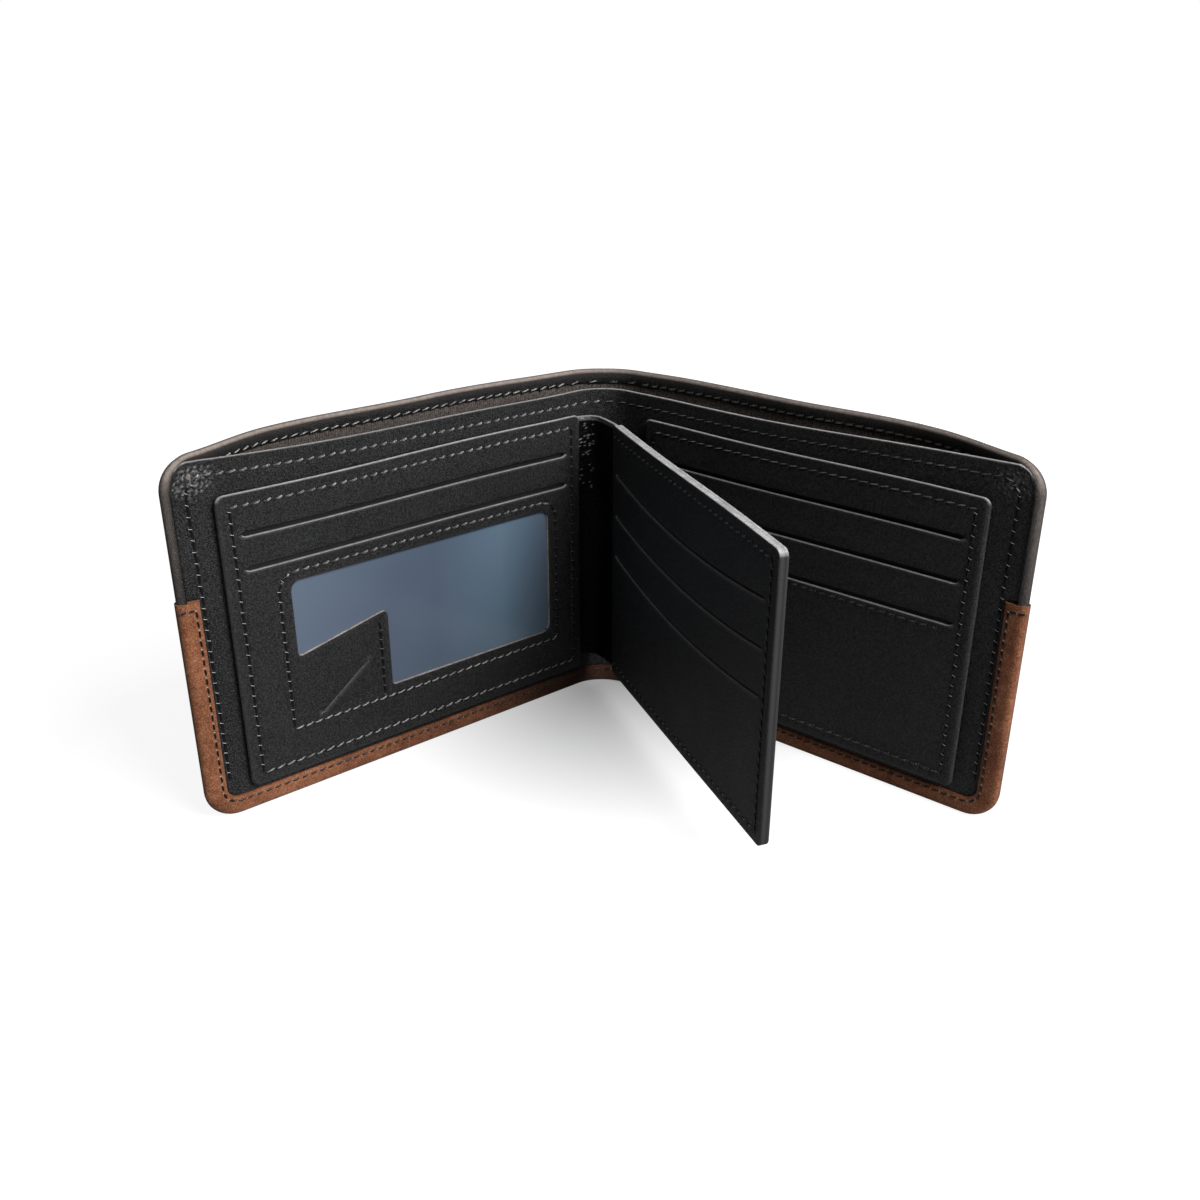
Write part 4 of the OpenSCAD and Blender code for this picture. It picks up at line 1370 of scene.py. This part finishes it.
        hem = Seam(np.vstack([[(0, inset)], corner, [(reach - inset, z)]]), self.band_front, self.pitch)
        work.sew(hem, self.place, -1, lift, 0.22)
        lap = Seam(np.array([(reach - inset, z), (reach - 0.3 * MM, z)]), self.band_front, 2.1 * MM)
        work.sew(lap, over_roll, -1, 0.05 * MM, 0.2)
        back = Seam(np.array([(0, z), (reach - 2 * MM, z)]), self.band_back, self.pitch)
        work.sew(back, self.place, 1, lift, 0.15)
        top = Seam(np.array([(0, high), (self.reach - 9 * MM, high)]), -self.inner)
        work.sew(top, self.place, -1, lift)
        piece = work.make(self.wallet.stitches, THREAD)
        self.wallet.keep(self.wallet.bend(piece, self.side), Slot.BLACK)


@dataclass
class InnerPanel:
    """The leather panel behind the pockets, folded over along its top edge."""

    wallet: Wallet
    side: Side
    tuck: float = 3.3 * MM
    top_drop: float = 3.7 * MM
    rise: float = 3 * MM
    corner_radius: float = 6 * MM
    foot_radius: float = 3.4 * MM
    crumpled: float = 0.34 * MM

    def __post_init__(self) -> None:
        """Reads the panel's sizes."""
        self.name = self.side.name.lower()
        self.panel = self.wallet.panels[self.side]
        self.low, self.high = self.panel.read(f"inner_panel_{self.name}")
        self.reach, self.wide = self.high[0], self.high[0] + self.tuck
        self.corner = np.array([self.wide - 5 * MM, self.top(self.wide) - 4 * MM])

    def top(self, s: Array) -> Array:
        """The height of the top edge, which rises towards the side."""
        start = self.panel.fold_start
        part = np.clip((s - start) / (self.reach - start), 0, 1)
        return self.high[2] - self.rise + self.rise * part ** 2

    def crumple(self, points: Array) -> Array:
        """The folds of the crumpled corner at each place, dying out around it."""
        off = np.linalg.norm((points - self.corner) * (0.75, 1), axis=1)
        x, z = (points / MM).T
        folds = np.sin(x * 1.3 + z * 4.4 + 1.8 * np.sin(z * 1.1 + x * 1.9))
        folds += np.sin(x * 4.2 - z * 1.5 + 1.9 * np.sin(z * 1.6 + 0.4)) * 0.8
        return np.exp(-((off / (6 * MM)) ** 2)) * folds

    def outline(self, split: float) -> tuple[Array, Array]:
        """The panel's outline and its inward pull; it is wider above the split, and straight at the fold."""
        reach, wide, top, bottom = self.reach, self.wide, self.top, self.low[2]
        r, turn_in = self.foot_radius, self.corner_radius
        s = np.linspace(wide - turn_in, 0, 90)
        loop = np.vstack([
            [(0, bottom)], arc((reach - r, bottom + r), r, -90, 0), [(reach, split)],
            [(wide, split + 0.4 * MM)], arc((wide - turn_in, top(wide) - turn_in), turn_in, 0, 80, 8),
            np.column_stack([s[1:], top(s[1:])])])
        outline = densify(loop, 1.4 * MM, closed=True)
        outline = fine_at_fold(ring(outline), self.panel.bend_end)[:-1]
        pull = inward(outline)
        at_fold = outline[:, 0] < TOUCHING
        pull[at_fold] = 0
        pull[at_fold & (outline[:, 1] < bottom + TOUCHING)] = (0, 1)
        pull[at_fold & (outline[:, 1] > top(0) - TOUCHING)] = (0, -1)
        return outline, pull

    def build(self, cover: CoverHalf) -> None:
        """Makes the panel and its stitches."""
        name, panel, front = self.name, self.panel, self.low[1]
        split = cover.band_top + 0.3 * MM
        outline, pull = self.outline(split)
        profile = edge_profile(front, self.high[1], 0.4 * MM, 0.3 * MM)
        # A painted highlight along the lit top edge, over its light cut edge, reaching further down at the
        # corner.
        wear_and_painted_light = np.zeros((len(outline), len(profile)))
        worn_and_lit = np.where(outline[:, 0] > self.wide - self.corner_radius, 5.5, 1.5) * MM
        near_top = outline[:, 1] > self.top(outline[:, 0]) - worn_and_lit
        wear_and_painted_light[np.ix_(near_top, range(1, 7))] = (0, 0.03, 0.3, 1, 1, 0.6)
        seam = Seam(self.row(split), front, depth=0.2 * MM)
        lattice = np.stack(np.meshgrid(*[np.arange(-9, 5, 0.5) * MM] * 2), axis=-1).reshape(-1, 2)
        depth = self.crumpled if self.side is Side.LEFT else self.crumpled * 0.4
        # Ridges of the crumpled corner get rubbing and a painted highlight.
        inside_rub_and_highlight = 0.75 * depth / self.crumpled
        plate = Plate(f"inner_panel_{name}_leather", outline, profile, pull, seams=[seam], wear_and_painted_light=wear_and_painted_light,
                      crease=lambda points: depth * self.crumple(points), fine=lattice + self.corner,
                      face_rub_and_highlight=lambda points: np.clip(np.abs(self.crumple(points)) - 0.6, 0, 1) * inside_rub_and_highlight,
                      turn_to=panel.bend_end)
        self.wallet.keep(self.wallet.bend(plate.make(panel.place, [SOFT_BLACK]), self.side), Slot.BLACK,
                         [f"inner_panel_{name}", f"spine_inner_{name}"])
        work = StitchWork(f"inner_stitches_{name}", shine=ROW_SHINE[self.side])
        work.sew(seam, panel.place)
        self.wallet.keep(self.wallet.bend(work.make(self.wallet.stitches, THREAD), self.side), Slot.BLACK)

    def row(self, split: float) -> Array:
        """The path of the stitches: up beside the band and along under the top edge."""
        wide, top, drop = self.wide, self.top, self.top_drop
        s = np.linspace(wide - 6 * MM, 0, 90)
        s = s[s < wide - 10 * MM]
        return np.vstack([
            [(self.reach - 1.1 * MM, self.low[2] + 5 * MM), (self.reach - 0.9 * MM, split),
             (wide - 3.7 * MM, top(wide) - 9 * MM)],
            arc((wide - 8.7 * MM, top(wide) - 8.7 * MM), 5 * MM, 0, 88, 6),
            np.column_stack([s, top(s) - drop])])


def slot_cut(start: float, end: float, z: float, sag: float = 0.0, width: float = 1.2 * MM,
             rise: float = 0.25 * MM) -> Cut:
    """A card slot between two ends, hanging by the given sag at its middle."""
    t, reach = np.sin(np.linspace(-math.pi / 2, math.pi / 2, 60)), (end - start) / 2
    s = (start + end) / 2 + reach * t
    middle = np.column_stack([s, z - sag * (1 - t * t)])
    half = width / 2 * np.sqrt(np.clip((1 - np.abs(t)) * reach / (1.0 * MM), 0, 1)) + 0.02 * MM
    low, high = middle.copy(), middle.copy()
    low[:, 1] -= half
    high[:, 1] += half
    return Cut(np.vstack([low, high[::-1]]), middle, 0.16 * MM, rise)


def hang_liner(wallet: Wallet, panel: PanelFrame, node: str, body: str) -> None:
    """Makes one pocket liner as a thin cloth sheet in its CAD node's place.

    Args:
        wallet: The wallet that keeps the piece.
        panel: The frame that the node is measured in.
        node: The liner's CAD node.
        body: The body that it moves with.
    """
    low, high = panel.read(node)
    path = box_path(low, high, 4 * MM)
    middle, half = (low[1] + high[1]) / 2, (high[1] - low[1]) / 2 * 0.7
    profile = np.array([(0.0, middle - half), (0.0, middle + half)])
    plate = Plate(node + "_cloth", path, profile, np.zeros_like(path), step=5 * MM)
    piece = plate.make(panel.place, [WEAVE])
    wallet.keep(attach(piece, body), Slot.POCKET, [node])


@dataclass
class PocketPanel:
    """A card pocket panel: its face with the slots, and the tray behind that carries the liners."""

    wallet: Wallet
    side: Side
    slot_margin: float = 5.5 * MM
    stitch_inset: float = 3.3 * MM
    undercut: float = 1.1 * MM
    set_back: float = 0.3 * MM

    def __post_init__(self) -> None:
        """Reads the panel's sizes; the face is set back so that the leaf and its thread lie clear of it."""
        self.name = self.side.name.lower()
        self.panel = self.wallet.panels[self.side]
        self.low, self.high = self.panel.read(f"{self.name}_pocket_face")
        self.low[1] += self.set_back
        self.body = f"{self.name}_panel"
        self.work = StitchWork(f"{self.name}_pocket_stitches", shine=ROW_SHINE[self.side])

    def liner_nodes(self) -> list[str]:
        """The CAD nodes of the panel's liners, from the top one down."""
        names = [f"{self.name}_pocket_liner_{i}" for i in LINERS]
        return [name for name in names if name in frame["nodes"]]

    def slots(self) -> list[Cut]:
        """The card slots, one above each liner."""
        ends = self.low[0] + self.slot_margin, self.high[0] - self.slot_margin
        return [slot_cut(*ends, self.panel.read(node)[1][2] - LINER_RISE) for node in self.liner_nodes()]

    def border(self) -> Seam:
        """The seam round the panel."""
        inset = self.stitch_inset
        path = rounded_box((self.low[0] + inset, self.low[2] + inset),
                           (self.high[0] - inset, self.high[2] - inset), [0.8 * MM] * 4, 2 * MM)
        return Seam(ring(path), self.low[1])

    def face(self, cuts: Sequence[Cut], seams: Sequence[Seam],
             crease: Callable[[Array], Array] | None = None, fine: Array | None = None) -> None:
        """Makes the leather face and its stitches."""
        outline = rounded_box((self.low[0], self.low[2]), (self.high[0], self.high[2]), [2.2 * MM] * 4,
                              1.4 * MM)
        ends, pull = (self.low[1], self.high[1] + 0.1 * MM), inward(outline)
        soft, crisp = edge_profile(*ends, 1.1 * MM, 0.8 * MM), edge_profile(*ends, 0.4 * MM, 0.25 * MM)
        profile = crisp_top(soft, crisp, pull)
        # Edges that look up get a bright painted highlight over their cut edge; the sides a faint one.
        side, top = np.array([(0, 0.01, 0.03, 0.07, 0.10, 0.06, 0), (0, 0.02, 0.3, 0.9, 1, 1, 0.9)])
        wear_and_painted_light = side + (top - side) * smooth_step(-pull[:, 1] * 1.6 - 0.3)[:, None]
        plate = Plate(f"{self.name}_pocket_leather", outline, profile, pull, cuts=cuts, seams=seams,
                      wear_and_painted_light=wear_and_painted_light, crease=crease, fine=fine)
        piece = plate.make(self.panel.place, [BLACK, RAW])
        self.wallet.keep(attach(piece, self.body), Slot.BLACK, [f"{self.name}_pocket_face"])
        for seam in seams:
            self.work.sew(seam, self.panel.place)
        piece = self.work.make(self.wallet.stitches, THREAD)
        self.wallet.keep(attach(piece, self.body), Slot.BLACK)

    def tray(self) -> None:
        """Makes the backing that the liners lie in."""
        low, high = self.panel.read(f"{self.name}_pocket_back")
        inset, rim = self.undercut, 1.2 * MM
        outline = rounded_box((low[0] + inset, low[2] + inset), (high[0] - inset, high[2] - inset),
                              [1.2 * MM] * 4, 2.5 * MM)
        front = self.high[1] + 0.12 * MM
        profile = np.array([(rim + 0.2 * MM, low[1]), (rim, low[1]), (rim, front), (0.1 * MM, front),
                            (0, front + 0.1 * MM), (0, high[1] - 0.1 * MM), (0.1 * MM, high[1])])
        plate = Plate(f"{self.name}_pocket_tray", outline, profile, step=4 * MM)
        piece = plate.make(self.panel.place, [WEAVE])
        self.wallet.keep(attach(piece, self.body), Slot.POCKET, [f"{self.name}_pocket_back"])

    def liners(self) -> None:
        """Makes the cloth sheets that hang behind the slots."""
        for node in self.liner_nodes():
            hang_liner(self.wallet, self.panel, node, self.body)

    def low_row(self) -> Seam:
        """The row of stitches that holds the liners, under the lowest slot."""
        z = self.panel.read(self.liner_nodes()[-1])[1][2] - 4.4 * MM
        ends = (self.low[0] + self.stitch_inset, self.high[0] - self.stitch_inset - 6 * MM)
        return Seam(np.array([(ends[0], z + 0.8 * MM), (ends[1], z)]), self.low[1], depth=0.15 * MM)

    def build(self) -> None:
        """Makes a plain panel with its slots."""
        self.face(self.slots(), [self.border(), self.low_row()])
        self.liners()
        self.tray()


@dataclass
class WindowPocket(PocketPanel):
    """The left panel, whose face also has the identity window with its standing corner."""

    frame_inset: float = 3.2 * MM
    corner_width: float = 26.5 * MM
    corner_low: float = 17 * MM
    corner_high: float = 23 * MM
    hem: float = 3.5 * MM

    def window(self) -> tuple[Array, Array]:
        """The window's lowest and highest corner."""
        low, high = self.panel.read("id_window_film")
        return low[[0, 2]] + self.hem, high[[0, 2]] - self.hem

    def opening(self) -> Cut:
        """The window's outline, with the corner left standing at its lower outer side."""
        low, high = self.window()
        tip = (high[0] - self.corner_width, low[1] + self.corner_high)
        r = 2.6 * MM
        loop = np.vstack([
            arc((low[0] + r, low[1] + r), r, 180, 270, 6),
            arc((tip[0] - 1 * MM, low[1] + 1 * MM), 1 * MM, -90, 0, 4),
            arc((tip[0] + 1.5 * MM, tip[1] - 1.9 * MM), 1.5 * MM, 180, 78, 5),
            arc((high[0] - 1 * MM, low[1] + self.corner_low + 1.3 * MM), 1 * MM, -100, 0, 4),
            arc((high[0] - r, high[1] - r), r, 0, 90, 6), arc((low[0] + r, high[1] - r), r, 90, 180, 6)])
        loop = densify(loop, 1.3 * MM, closed=True)
        slanted = (loop[:, 0] > tip[0] + 0.4 * MM) & (loop[:, 1] < tip[1] + 0.3 * MM)
        raw = slanted | (loop[:, 1] < low[1] + 0.6 * MM) | (loop[:, 0] < low[0] + 0.4 * MM)
        return Cut(loop, None, 0.25 * MM, raw=raw)

    def slit(self) -> Cut:
        """The slanted slit in the standing corner."""
        low, high = self.window()
        a = np.array([high[0] - self.corner_width * 0.17, low[1] - 1.5 * MM])
        b = np.array([high[0] - self.corner_width * 0.76, low[1] + self.corner_high * 0.45])
        side = np.array([-(b - a)[1], (b - a)[0]]) / np.linalg.norm(b - a) * 0.3 * MM
        path = resample(np.array([a, b]), 1.5 * MM)
        count = np.arange(len(path))
        taper = np.minimum(1, np.minimum(count, count[::-1]) * 0.9 + 0.15)[:, None]
        loop = np.vstack([path - side * taper, (path + side * taper)[::-1]])[::-1]
        bare = (taper[:, 0] >= 1) & (count < len(path) - 3)
        return Cut(loop, path, 0.24 * MM, 0.2 * MM, raw=np.concatenate([bare, bare[::-1]])[::-1])

    def seams(self) -> list[Seam]:
        """The stitched frame round the window and the row beside the standing corner."""
        low, high = self.window()
        out = self.frame_inset
        path = rounded_box((low[0] - 2.6 * MM, low[1] - out), (high[0] + out, high[1] + 2.6 * MM),
                           [1.2 * MM, 1.2 * MM, 5 * MM, 5 * MM], 2 * MM)
        x = high[0] - self.corner_width + 2.7 * MM
        row = np.array([(x, low[1] + self.corner_high - 3 * MM), (x, low[1] - out + 1 * MM)])
        return [Seam(ring(path), self.low[1], 2.8 * MM), Seam(row, self.low[1], 2.8 * MM)]

    def pressed(self) -> Array:
        """The pressed line that runs down from the slit's upper end and back to its lower end."""
        low, high = self.window()
        x = high[0] - self.corner_width * 0.80
        return np.array([(x, low[1] + self.corner_high * 0.43), (x, low[1] + 1.2 * MM),
                         (high[0] - self.corner_width * 0.30, low[1] - 1.2 * MM)])

    def crease(self, points: Array) -> Array:
        """The pocket behind the slit shows as a pressed line."""
        return 0.22 * MM * np.exp(-((nearest(points, self.pressed())[0] / (0.5 * MM)) ** 2))

    @staticmethod
    def ripple(points: Array) -> Array:
        """The shallow waves of the film."""
        waves = np.sin(points[:, 0] / (7 * MM) + points[:, 1] / (30 * MM))
        return 0.04 * MM * (waves + np.sin(points[:, 1] / (9 * MM) + points[:, 0] / (17 * MM)))

    def film(self) -> None:
        """Makes the rippled window film."""
        low, high = self.panel.read("id_window_film")
        profile = np.array([(0.0, low[1] + 0.14 * MM), (0.0, high[1])])
        plate = Plate("window_film_sheet", box_path(low, high, 3 * MM), profile, step=2 * MM,
                      crease=self.ripple)
        piece = plate.make(self.panel.place, [FILM])
        self.wallet.keep(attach(piece, self.body), Slot.FILM, ["id_window_film"])

    def build(self) -> None:
        """Makes the panel with its slots, window, film and seams."""
        line = resample(self.pressed(), 0.8 * MM)
        fine = np.vstack([line + np.array([off, 0.3 * off]) * MM for off in (-1.0, -0.5, 0, 0.5, 1.0)])
        self.face([*self.slots(), self.opening(), self.slit()], [self.border(), *self.seams()],
                  self.crease, fine)
        self.liners()
        self.tray()
        self.film()


@dataclass
class Leaf:
    """The centre leaf: two leather faces with sagging slots, sewn round a stiffener."""

    wallet: Wallet
    sag: float = 3.6 * MM
    stitch_inset: float = 3.2 * MM
    slot_start: float = 2.75 * MM
    slot_end: float = 5.5 * MM
    slot_width: float = 0.7 * MM
    set_back: float = 0.25 * MM

    def build(self) -> None:
        """Makes both faces, their stitches and the board between them."""
        work = StitchWork("leaf_stitches")
        self.face("left", 1, work)
        outline = self.face("right", -1, work)
        self.wallet.keep(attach(work.make(self.wallet.stitches, THREAD), "leaf"), Slot.BLACK)
        self.board(outline)

    def face(self, name: str, way: int, work: StitchWork) -> Array:
        """Makes one face with its slots and liners, and sews its seam.

        Args:
            name: The face's side.
            way: 1 for the face at negative y, -1 for the other.
            work: The leaf's stitches.

        Returns:
            The face's outline.
        """
        panel, inset = self.wallet.leaf, self.stitch_inset
        core = panel.read("leaf_core")[1][1] + 0.01 * MM
        low, high = panel.read(f"leaf_face_{name}")
        front = -max(abs(low[1]), abs(high[1])) + self.set_back

        def place(s: Array, y: Array, z: Array) -> Array:
            """World points of this face's own coordinates."""
            return panel.place(s, np.asarray(y) * way, z)

        liners = [f"leaf_liner_{name}_{i}" for i in LINERS]
        ends = low[0] + self.slot_start, high[0] - self.slot_end
        cuts = [slot_cut(*ends, panel.read(node)[1][2] - LINER_RISE, self.sag, self.slot_width, 0.12 * MM)
                for node in liners]
        radii = [1 * MM, 2 * MM, 2 * MM, 1 * MM]
        outline = rounded_box((low[0], low[2]), (high[0], high[2]), radii, 1.4 * MM)
        seam = Seam(np.array([(low[0], high[2] - inset), (high[0] - inset, high[2] - inset),
                              (high[0] - inset, low[2] + inset), (low[0], low[2] + inset)]), front)
        plate = Plate(f"leaf_{name}_leather", outline, edge_profile(front, -core, 0.35 * MM, 0.3 * MM, 0.03),
                      cuts=cuts, seams=[seam], rim_from=3, wear_and_painted_light=[0, 0.03, 0.12])
        piece = plate.make(place, [BLACK, PAINTED])
        self.wallet.keep(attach(piece, "leaf"), Slot.BLACK, [f"leaf_face_{name}"])
        work.sew(seam, place)
        for node in liners:
            hang_liner(self.wallet, panel, node, "leaf")
        return outline

    def board(self, outline: Array) -> None:
        """The stiffener between the two faces, painted along its edge with them."""
        panel = self.wallet.leaf
        low, high = panel.read("leaf_core")
        profile = np.array([(0.0, low[1]), (0.0, high[1])])
        plate = Plate("leaf_core_board", outline, profile, np.zeros_like(outline), step=4 * MM, rim_from=0)
        piece = plate.make(panel.place, [BOARD, PAINTED])
        self.wallet.keep(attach(piece, "leaf"), Slot.STIFFENER, ["leaf_core"])


@dataclass
class HingeStrip:
    """The soft gathered strip that hinges the leaf to the left pocket panel."""

    wallet: Wallet
    thickness: float = 0.8 * MM
    columns: int = 26
    rows: int = 290
    # The share of points on the upper gathers that get a painted glint.
    specks: float = 0.09
    seed: int = 5

    def ends(self) -> tuple[Array, Array, Array]:
        """Where the strip leaves the pocket, where its middle pulls to, and where it meets the leaf."""
        panel, leaf = self.wallet.panels[Side.LEFT], self.wallet.leaf
        pocket, edge = panel.read("left_pocket_face"), leaf.read("leaf_core")
        start = panel.place(np.array([pocket[0][0] + 1.2 * MM]), pocket[1][1] + 0.35 * MM, 0.0)[0][:2]
        end = leaf.place(np.array([edge[0][0] + 1.5 * MM]), 0.0, 0.0)[0][:2]
        towards, back = -panel.along[:2], -leaf.along[:2]
        t = np.linalg.solve(np.column_stack([towards, -back]), end - start)
        return start, start + towards * t[0], end

    def sides(self, u: Array, v: Array) -> list[Array]:
        """The strip's two faces, with gathers that run across it.

        Args:
            u: Each point's part of the way from the pocket to the leaf.
            v: Its part of the height.

        Returns:
            The world points of both faces.
        """
        points = measured("leaf_hinge_strip")[:, 2]
        low, high = points.min(), points.max() + 1.2 * MM
        start, middle, end = self.ends()
        w, z = u[..., None], low + (high - low) * v
        path = (1 - w) ** 2 * start + 2 * w * (1 - w) * middle + w ** 2 * end
        slope = 2 * (1 - w) * (middle - start) + 2 * w * (end - middle)
        normal = np.stack([slope[..., 1], -slope[..., 0]], axis=-1)
        normal /= np.linalg.norm(slope, axis=-1)[..., None]
        sway = np.sin(math.pi * u) ** 0.7
        folds = np.sin(z / (0.62 * MM) + 2.2 * np.sin(z / (4.1 * MM)) + 3 * u) * 0.6
        folds += np.sin(z / (1.37 * MM) - 4 * u + np.sin(z / (7 * MM))) * 0.4
        shift = sway * (0.20 * MM * folds + 0.25 * MM * np.sin(u * 9 + np.sin(z / (11 * MM))))
        out = []
        for offset in (-self.thickness / 2, self.thickness / 2):
            flat = path + normal * (shift + offset)[..., None]
            out.append(np.concatenate([flat, z[..., None]], axis=-1).reshape(-1, 3))
        return out

    def rub_and_painted_light(self, u: Array, v: Array) -> Array:
        """How light the strip is painted: a painted highlight along its top end, and painted glints on the
        gathers below.
        """
        bare = (v > 0.999).ravel() * 0.8 + ((v > 0.985) & (v <= 0.999)).ravel() * 0.2
        chance = self.specks * np.clip((v - 0.7) / 0.2, 0, 1)
        speck = np.random.default_rng(self.seed).random(u.shape) < chance
        return np.maximum(bare, (speck & (u > 0.06) & (u < 0.42)).ravel() * 0.7)

    def build(self) -> None:
        """Makes the strip as a closed sheet of two faces."""
        u, v = np.meshgrid(np.linspace(0, 1, self.columns), np.linspace(0, 1, self.rows))
        shell, rub_and_painted_light = Shell(), self.rub_and_painted_light(u, v)
        ids = [shell.add(side[:, [0, 2]], side[:, 1], rub_and_painted_light).reshape(u.shape) for side in self.sides(u, v)]
        for sheet in ids:
            for a, b in zip(sheet, sheet[1:]):
                shell.band(a, b, closed=False)
        for row in (np.s_[0], np.s_[-1], np.s_[:, 0], np.s_[:, -1]):
            shell.band(ids[0][row], ids[1][row], closed=False)
        piece = shell.build("leaf_hinge_strip_leather", lambda *axes: np.stack(axes, axis=-1), [HINGE_SHADED_BLACK])
        start, _, end = self.ends()
        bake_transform(piece)
        self.wallet.keep(piece, Slot.BLACK, ["leaf_hinge_strip"])


@dataclass
class Studio:
    """Camera, floor and soft light.

    The camera stands at a place from the foot of the fold, with its angles in degrees and its lens in
    millimetres. The key and edge values are the lamps' powers in watts.
    """

    wallet: Wallet
    stand: Place = (-1.1 * MM, -350.9 * MM, 191.5 * MM)
    yaw: float = 0.36
    pitch: float = 25.85
    roll: float = 0.24
    lens: float = 38.25
    shift: Pair = (-0.0049, 0.0181)
    key: float = 11.0
    edge: float = 2.6
    key_place: Place = (0.62, -0.50, 0.78)
    edge_place: Place = (0.85, -0.35, 0.22)
    lit_place: Place = (0.0, 0.0, 0.04)
    sky: float = 0.06
    albedo: float = 0.32
    size: float = 30.0

    def camera(self) -> None:
        """Sets up the camera, placed from the fold."""
        yaw, pitch, roll = (math.radians(v) for v in (self.yaw, self.pitch, self.roll))
        view = Vector((math.sin(yaw) * math.cos(pitch), math.cos(yaw) * math.cos(pitch), -math.sin(pitch)))
        right = Vector((math.cos(yaw), -math.sin(yaw), 0))
        up = right.cross(view)
        right, up = right * math.cos(roll) + up * math.sin(roll), up * math.cos(roll) - right * math.sin(roll)
        data = bpy.data.cameras.new("camera")
        data.lens, data.sensor_width = self.lens, 36
        data.shift_x, data.shift_y = self.shift
        data.clip_start, data.clip_end = 0.01, 50
        camera = shown("camera", data)
        turn = Matrix((right, up, -view)).transposed().to_4x4()
        camera.matrix_world = Matrix.Translation(Vector(self.wallet.axis) + Vector(self.stand)) @ turn
        bpy.context.scene.camera = camera

    def floor(self) -> None:
        """Makes the pale floor, which looks white where no shadow falls, with painted shade near the fold."""
        material = bpy.data.materials.new("studio_floor")
        material.use_nodes = True
        g = Graph(material.node_tree)
        shader = g.feed(material.node_tree.nodes["Principled BSDF"], {
            "Base Color": (*[self.albedo] * 3, 1), "Roughness": 0.9, "Specular IOR Level": 0.1})
        rays = g.add("ShaderNodeLightPath").outputs
        seen = g.math("MAXIMUM", rays["Is Camera Ray"], g.times(rays["Is Glossy Ray"], 0.14))
        seen = g.math("MAXIMUM", seen, rays["Is Transmission Ray"])
        place = g.add("ShaderNodeTexCoord").outputs["Object"]
        fold = tuple(float(v) for v in self.wallet.axis)  # the floor pales away from here
        away = g.add("ShaderNodeVectorMath", {0: place, 1: fold}, operation="DISTANCE").outputs["Value"]
        # The glow is weaker near the fold: painted shade that keeps the floor darker there.
        pale = g.math("ADD", g.span(away, 0.0, 0.075, 0.22, 0.90), g.span(away, 0.11, 0.55, 0, 0.11))
        glow = g.add("ShaderNodeEmission", {"Color": (1, 1, 1, 1), "Strength": g.times(seen, pale)})
        both = g.add("ShaderNodeAddShader", {0: shader.outputs[0], 1: glow.outputs[0]})
        g.feed(material.node_tree.nodes["Material Output"], {"Surface": both.outputs[0]})
        mesh = bpy.data.meshes.new("studio_floor")
        spread = ((-1, -1), (1, -1), (1, 1), (-1, 1))
        mesh.from_pydata([(self.size * x, self.size * y, 0) for x, y in spread], [], [(0, 1, 2, 3)])
        mesh.materials.append(material)
        shown("studio_floor", mesh)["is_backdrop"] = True

    def lamp(self, name: str, place: Place, size: float, power: float) -> None:
        """Adds one soft square lamp that looks at the wallet."""
        data = bpy.data.lights.new(name, "AREA")
        data.shape, data.size, data.energy = "SQUARE", size, power
        lamp = shown(name, data)
        lamp.location = place
        lamp.rotation_mode = "QUATERNION"
        lamp.rotation_quaternion = (Vector(self.lit_place) - Vector(place)).to_track_quat("-Z", "Y")

    def light(self) -> None:
        """Adds the lamps and a pale surrounding."""
        self.lamp("key_lamp", self.key_place, 0.6, self.key)
        self.lamp("edge_lamp", self.edge_place, 0.35, self.edge)
        world = bpy.data.worlds.new("studio")
        bpy.context.scene.world = world
        world.use_nodes = True
        g = Graph(world.node_tree)
        rays = g.add("ShaderNodeLightPath").outputs
        seen = g.math("MAXIMUM", rays["Is Camera Ray"], rays["Is Transmission Ray"])
        g.feed(world.node_tree.nodes["Background"], {
            "Color": (1, 1, 1, 1), "Strength": g.span(seen, 0, 1, self.sky, 1.0)})

    def build(self) -> None:
        """Makes the whole studio."""
        bpy.context.scene.view_settings.view_transform = "Standard"
        self.camera()
        self.floor()
        self.light()


def dress_cad_nodes() -> None:
    """Gives every CAD node a procedural material."""
    for node in frame["nodes"].values():
        node.data.materials.clear()
        node.data.materials.append(WEAVE.material())


def corners(box: tuple[Vector, Vector]) -> list[list[float]]:
    """A box as plain lists."""
    return [list(map(float, corner)) for corner in box]


def main() -> None:
    """Builds the studio and the wallet, piece by piece."""
    logging.basicConfig(level=logging.INFO, format="%(name)s: %(message)s")
    cad_box = corners(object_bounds())
    wallet = Wallet.from_frame()
    Studio(wallet).build()
    dress_cad_nodes()
    for side in Side:
        cover = CoverHalf(wallet, side)
        cover.upper()
        cover.band()
        cover.lining()
        cover.stitches()
        InnerPanel(wallet, side).build(cover)
    WindowPocket(wallet, Side.LEFT).build()
    PocketPanel(wallet, Side.RIGHT).build()
    Leaf(wallet).build()
    HingeStrip(wallet).build()
    {"cad": cad_box, "visual": corners(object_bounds())}


if __name__ == "__main__":
    main()
